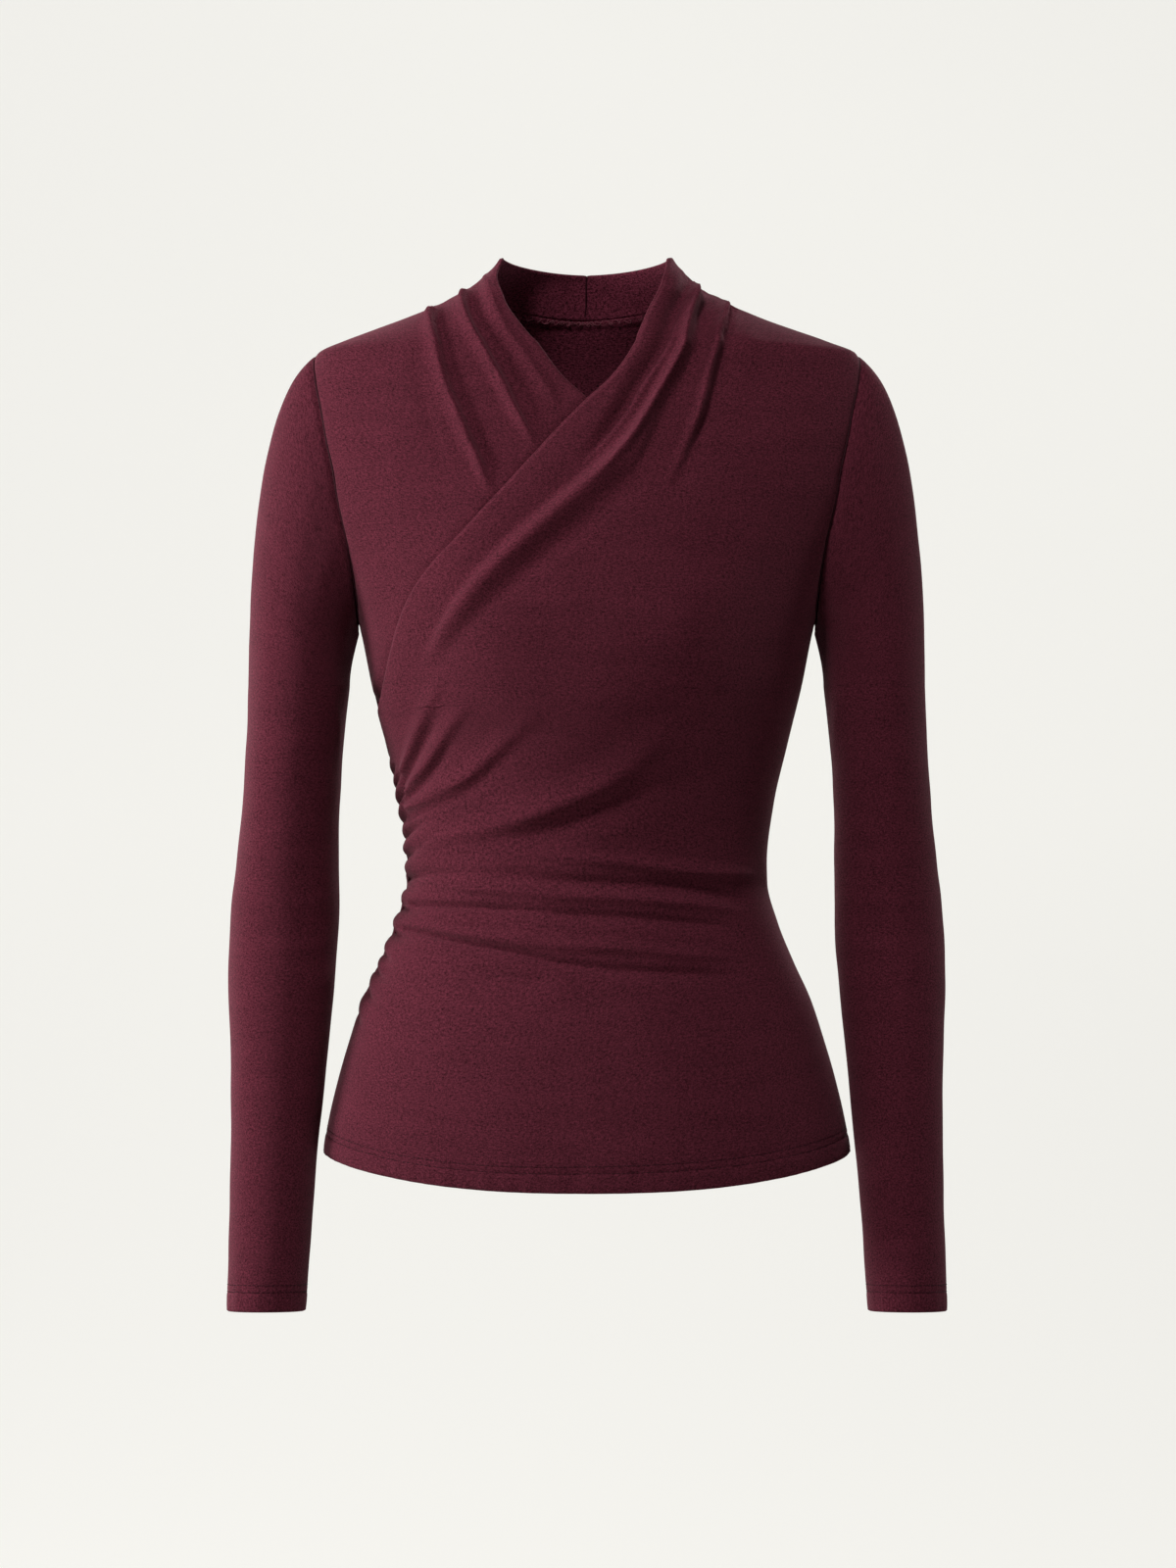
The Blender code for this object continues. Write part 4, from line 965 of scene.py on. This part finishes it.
def makeSleeve(name, nodeName, side, phase):
    count = sleeve["around"]
    start, seamWalls = armholeRing(count // 2)
    turns = 360 * np.arange(count) / count
    head = sleeveRing(sleeve["headTop"], turns)
    wayX, wayY, wayZ, pullOut, pullDown = (curve(turns) for curve in tableCurves(sleeve["head"]))
    begin = unit(np.stack([wayX, wayY, wayZ], axis=-1))
    rings = []
    for s in np.linspace(0, 1, sleeve["headSteps"] + 1) ** 1.25:
        rings.append((1 + 2 * s) * (1 - s) ** 2 * (start + begin * cloth["seamGap"])
                     + s * (1 - s) ** 2 * pullOut[:, None] * begin
                     + s * s * (3 - 2 * s) * head
                     - s * s * (1 - s) * pullDown[:, None] * np.array([0, 0, -1]))
    for z in stepped(*sleeve["rows"]):
        slope = float(sleeveY(z + 10) - sleeveY(z - 10)) / 20
        rings.append(sleeveRing(z, turns, slope * float(ease(-z, 300, 480))))
    form = np.array(rings)
    around = np.roll(form, -1, axis=1) - np.roll(form, 1, axis=1)
    down = np.gradient(form, axis=0)
    inward = unit(np.cross(around, down))
    toMiddle = form.mean(axis=1, keepdims=True) - form
    inward *= np.where(np.sum(inward * toMiddle, axis=-1, keepdims=True) > 0, 1, -1)
    share = ease(np.sum(inward[0] * seamWalls, axis=-1), 0.2, 0.85)[:, None]
    inward[0] = unit(inward[0] * (1 - share) + seamWalls * share)
    steps = np.linalg.norm(np.diff(form, axis=0), axis=-1)
    fromSeam = np.concatenate([np.zeros((1, count)), np.cumsum(steps, axis=0)])
    above = fromSeam[-1] - fromSeam
    degree = sleeve["degree"]
    flat = np.stack([turns[None] * degree + np.zeros_like(fromSeam), form[..., 2]], axis=-1)
    lineOf = lambda bend: sleeveRing(bend[:, 1], bend[:, 0] / degree)
    folds = [(tuple((t * degree, z) for t, z in path), *rest) for path, *rest in sleeveFolds]
    lift = foldRelief(form, flat, folds, lineOf)
    shifted = form + np.array([0, phase, 0])
    lift += unevenness(shifted, 30, 0.55) * ease(fromSeam, 2, 25)
    lift += seamDip(fromSeam, 1.2, 1.9)
    lift += hemRelief(turns[None] * 0.5, above, phase) * 0.6 * fade(above, 18, 26)
    outer = form - inward * lift[..., None]
    wall = hemWall(above)
    mirror = np.array([side, 1, 1])
    girth = np.linalg.norm(around, axis=-1).mean() / 2
    uv = np.stack([np.arange(count)[None] * girth * np.ones_like(fromSeam),
                   form[:, 0, 2][:, None] * np.ones((1, count))], axis=-1)
    piece = clothShell(name, outer * mirror, inward * mirror, wall, uv, True)
    handIn(piece, nodeName)
    return outer * mirror, above


rightCuff = makeSleeve("sleeveRight", "sleeve_right", -1, 0)
leftCuff = makeSleeve("sleeveLeft", "sleeve_left", 1, 57)
print("sleeves made")


# sewing

stitching = {"length": 2.5, "pitch": 3.1, "thread": 0.26, "samples": 150}


def threadCurve(name, points, closed, bevel=0):
    curve = bpy.data.curves.new(name, "CURVE")
    curve.dimensions = "3D"
    line = curve.splines.new("POLY")
    line.points.add(len(points) - 1)
    for knot, place in zip(line.points, points):
        knot.co = (*(np.asarray(place) * mm), 1)
    line.use_cyclic_u = closed
    curve.bevel_depth, curve.bevel_resolution = bevel * mm, 1
    holder = bpy.data.objects.new(name, curve)
    bpy.context.scene.collection.objects.link(holder)
    return holder


def useModifier(piece, kind, settings):
    modifier = piece.modifiers.new(kind, kind)
    for setting, value in settings.items():
        setattr(modifier, setting, value)
    bpy.context.view_layer.objects.active = piece
    bpy.ops.object.modifier_apply(modifier=modifier.name)


def stitchLine(name, points):
    # one stitch, repeated along the seam
    path = threadCurve(name + "Path", points, True)
    total = lengthAlong(np.concatenate([points, points[:1]]))[-1]
    thread, length = stitching["thread"] * mm, stitching["length"] * mm
    bpy.ops.mesh.primitive_cylinder_add(vertices=6, radius=thread, depth=length * 0.6,
                                        rotation=(0, math.pi / 2, 0))
    piece = bpy.context.object
    piece.name = name
    bpy.ops.object.transform_apply(location=False, rotation=True, scale=False)
    for end in (-1, 1):  # each end dips into the cloth
        bpy.ops.object.mode_set(mode="EDIT")
        bpy.ops.mesh.select_all(action="DESELECT")
        work = bmesh.from_edit_mesh(piece.data)
        for face in work.faces:
            face.select_set(face.normal.x * end > 0.9)
        bmesh.update_edit_mesh(piece.data)
        bpy.ops.mesh.extrude_region_move(
            TRANSFORM_OT_translate={"value": (end * length * 0.2, 0, -thread * 0.7)})
        bpy.ops.transform.resize(value=(1, 0.55, 0.55))
        bpy.ops.object.mode_set(mode="OBJECT")
    count = int(total / stitching["pitch"])
    useModifier(piece, "ARRAY", {"count": count, "use_relative_offset": False,
                                 "use_constant_offset": True,
                                 "constant_offset_displace": (total * mm / count, 0, 0)})
    useModifier(piece, "CURVE", {"object": path, "deform_axis": "POS_X"})
    bpy.data.objects.remove(path)
    piece.data.materials.append(darkThreadAndSeamShade)
    piece.data.shade_smooth()
    piece.select_set(False)
    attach(piece, "root")


def hemLine(above):
    row = cloth["hem"] + above
    points = []
    for form, front, last in ((overForm, True, 90), (backForm, False, -90)):
        turns = np.linspace(-last, last, stitching["samples"])[None]
        along, angles = arcTurns(-90, 90, row, front)
        run = np.interp(turns, angles, along)
        base, normal, lift = form(turns, np.full(turns.shape, row), run)
        points += list((base + normal * (lift[..., None] + 0.12))[0][:-1])
    return np.array(points)


def cuffLine(grid, above, height):
    line = []
    for column in range(grid.shape[1]):
        heights = above[:, column][::-1]
        line.append([np.interp(height, heights, grid[::-1, column, k]) for k in range(3)])
    line = np.array(line)
    middle = line.mean(axis=0)
    return line + unit(line - middle) * 0.12


for number, height in enumerate(cloth["stitchRows"], 1):
    stitchLine(f"hemStitches{number}", hemLine(height))
    stitchLine(f"cuffStitchesRight{number}", cuffLine(*rightCuff, height))
    stitchLine(f"cuffStitchesLeft{number}", cuffLine(*leftCuff, height))

overlock = {"reach": 78, "pitch": 3.3, "height": 2.3, "thread": 0.16}


def threadPiece(name, points, size, look, closed=False):
    holder = threadCurve(name, points, closed, size)
    bpy.context.view_layer.objects.active = holder
    holder.select_set(True)
    bpy.ops.object.convert(target="MESH")
    piece = bpy.context.object
    piece.select_set(False)
    piece.data.materials.append(look)
    piece.data.shade_smooth()
    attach(piece, "root")


def makeOverlock(name, phase, drop):
    # thread looped over the edge of the seam inside the back neck
    points = []
    count = int(2 * overlock["reach"] / overlock["pitch"]) * 8
    for i in range(count + 1):
        x = overlock["reach"] * (2 * i / count - 1)
        swing = i / 8 * 2 * math.pi + phase
        wobble = noise.noise(Vector((x * 0.33, phase, 0.3)))
        slack = noise.noise(Vector((x * 0.55, phase, 4.1)))
        x += 1.1 * math.sin(swing * 0.5 + wobble * 4) + 1.4 * wobble
        turn = float(turnAtX(x, cloth["neckPoint"] - 8))
        top = cloth["neckPoint"] - cloth["neckDrop"] * middleShare(turn) - 0.9
        z = top - drop - overlock["height"] * (0.5 - 0.5 * math.cos(swing)) * (1 + 0.6 * slack)
        point, normal = bodySurface(turn, z, False)
        points.append(point - normal * (2.05 + 0.2 * math.sin(swing * 0.5 + slack)))
    threadPiece(name, points, overlock["thread"], overlockThread)


makeOverlock("overlockLoops", 0, 0)
makeOverlock("overlockChain", 2.1, 0.6)
# painted shade: a dark cord in the collar's centre back seam stands in for the seam's shadow
heights = np.linspace(cloth["neckPoint"] - cloth["neckDrop"] + 0.8,
                      cloth["collarTop"] - cloth["collarDip"] - 0.6, 24)
inside = bodyPoint(0, heights, False) - np.array([0, backCollar["wall"] - 0.35, 0])
threadPiece("collarSeamShadowCord", inside, 0.5, darkThreadAndSeamShade)  # closes the halves at the centre back; the cord is dark, a painted shadow of the seam
# a dark cord round each armhole, sunk in the seam's groove: it stands for the seam and is also painted
# shade, the groove's shadow drawn as a dark line
ring, walls = armholeRing(60)
for name, side in (("armholeSeamShadowRight", -1), ("armholeSeamShadowLeft", 1)):
    threadPiece(name, (ring + walls * 0.6) * np.array([side, 1, 1]), 0.55, darkThreadAndSeamShade, True)
print("sewing made")


# studio

studio = {
    "floor": -1.36,
    "bends": 12,  # from floor to wall
    "paper": (0.3, 0.297, 0.285, 1),
    "floorPaper": (0.42, 0.417, 0.405, 1),
    "paperGlow": (0.882, 0.874, 0.833, 1),
    "lowGlow": (0.833, 0.825, 0.787, 1),
    "floorGlow": (0.08, 0.0795, 0.076, 1),
    "glow": 0.832,
    "lamps": {  # place, size, power, aim
        "keyLight": ((-2.5, -0.46, 0.16), 1, 62),
        "frontLight": ((-0.65, -1.6, 1.9), 0.5, 37),
        "sideLight": ((-1.8, 1.25, -0.1), 0.9, 12),
        "rightLight": ((2.1, 0.75, 0.2), 0.9, 7),
        "fillLight": ((1.9, -1, 0.9), 0.9, 3),
        "backLight": ((0.6, 1.55, 1.25), 0.5, 9, (0, 0.1, -0.35)),
    },
    "world": (0.005, 0.005, 0.0055, 1),
    "camera": (0.0008, -2.2, -0.325),
    "lens": 76.15,
}


def makePaper():
    # floor and wall in one sweep
    bpy.ops.mesh.primitive_plane_add(size=1, location=(0, 0, 0))
    paper = bpy.context.object
    paper.name = "paperSweep"
    bpy.ops.object.mode_set(mode="EDIT")
    bpy.ops.mesh.select_all(action="SELECT")
    bpy.ops.transform.resize(value=(9, 5.4, 1))
    bpy.ops.transform.translate(value=(0, -0.8, studio["floor"]))
    for step in range(studio["bends"]):
        bpy.ops.mesh.select_all(action="DESELECT")
        work = bmesh.from_edit_mesh(paper.data)
        farthest = max(work.edges, key=lambda edge: sum(end.co.y + end.co.z for end in edge.verts))
        farthest.select_set(True)
        bmesh.update_edit_mesh(paper.data)
        angle = math.radians(90 * (step + 0.5) / studio["bends"])
        bpy.ops.mesh.extrude_edges_move(TRANSFORM_OT_translate={
            "value": (0, 0.13 * math.cos(angle), 0.13 * math.sin(angle))})
    bpy.ops.mesh.extrude_edges_move(TRANSFORM_OT_translate={"value": (0, 0, 3.2)})
    bpy.ops.object.mode_set(mode="OBJECT")
    look, shader, place = newLook("studioPaper", {
        "Roughness": 1, "Specular IOR Level": 0, "Emission Strength": studio["glow"]})
    across, back, up = splitVector(place)
    towardWall = (back - 0.7) / 1.2
    reached = (up + across * 0.4 + 0.33) / 1.12  # less glow where the lamps reach
    evened = mixTones(reached, studio["lowGlow"], studio["paperGlow"])
    mixTones(towardWall, studio["floorPaper"], studio["paper"]).into(shader, "Base Color")
    mixTones(towardWall, studio["floorGlow"], evened).into(shader, "Emission Color")
    paper.data.materials.append(look)
    paper.data.shade_smooth()
    paper.select_set(False)


def makeLight(name, place, size, power, aim=(0, 0, -0.3)):
    lamp = bpy.data.lights.new(name, "AREA")
    lamp.shape, lamp.size, lamp.energy = "DISK", size, power
    holder = bpy.data.objects.new(name, lamp)
    holder.location = place
    holder.rotation_euler = (Vector(aim) - Vector(place)).to_track_quat("-Z", "Y").to_euler()
    bpy.context.scene.collection.objects.link(holder)


makePaper()
for name, lamp in studio["lamps"].items():
    makeLight(name, *lamp)
world = bpy.data.worlds.new("studioAir")
world.use_nodes = True
world.node_tree.nodes["Background"].inputs["Color"].default_value = studio["world"]
bpy.context.scene.world = world

camera = bpy.data.objects.new("studioCamera", bpy.data.cameras.new("studioCamera"))
camera.data.lens = studio["lens"]
camera.data.clip_end = 50
camera.location = studio["camera"]
camera.rotation_euler = (math.radians(90), 0, 0)
bpy.context.scene.collection.objects.link(camera)
bpy.context.scene.camera = camera
print("studio made")
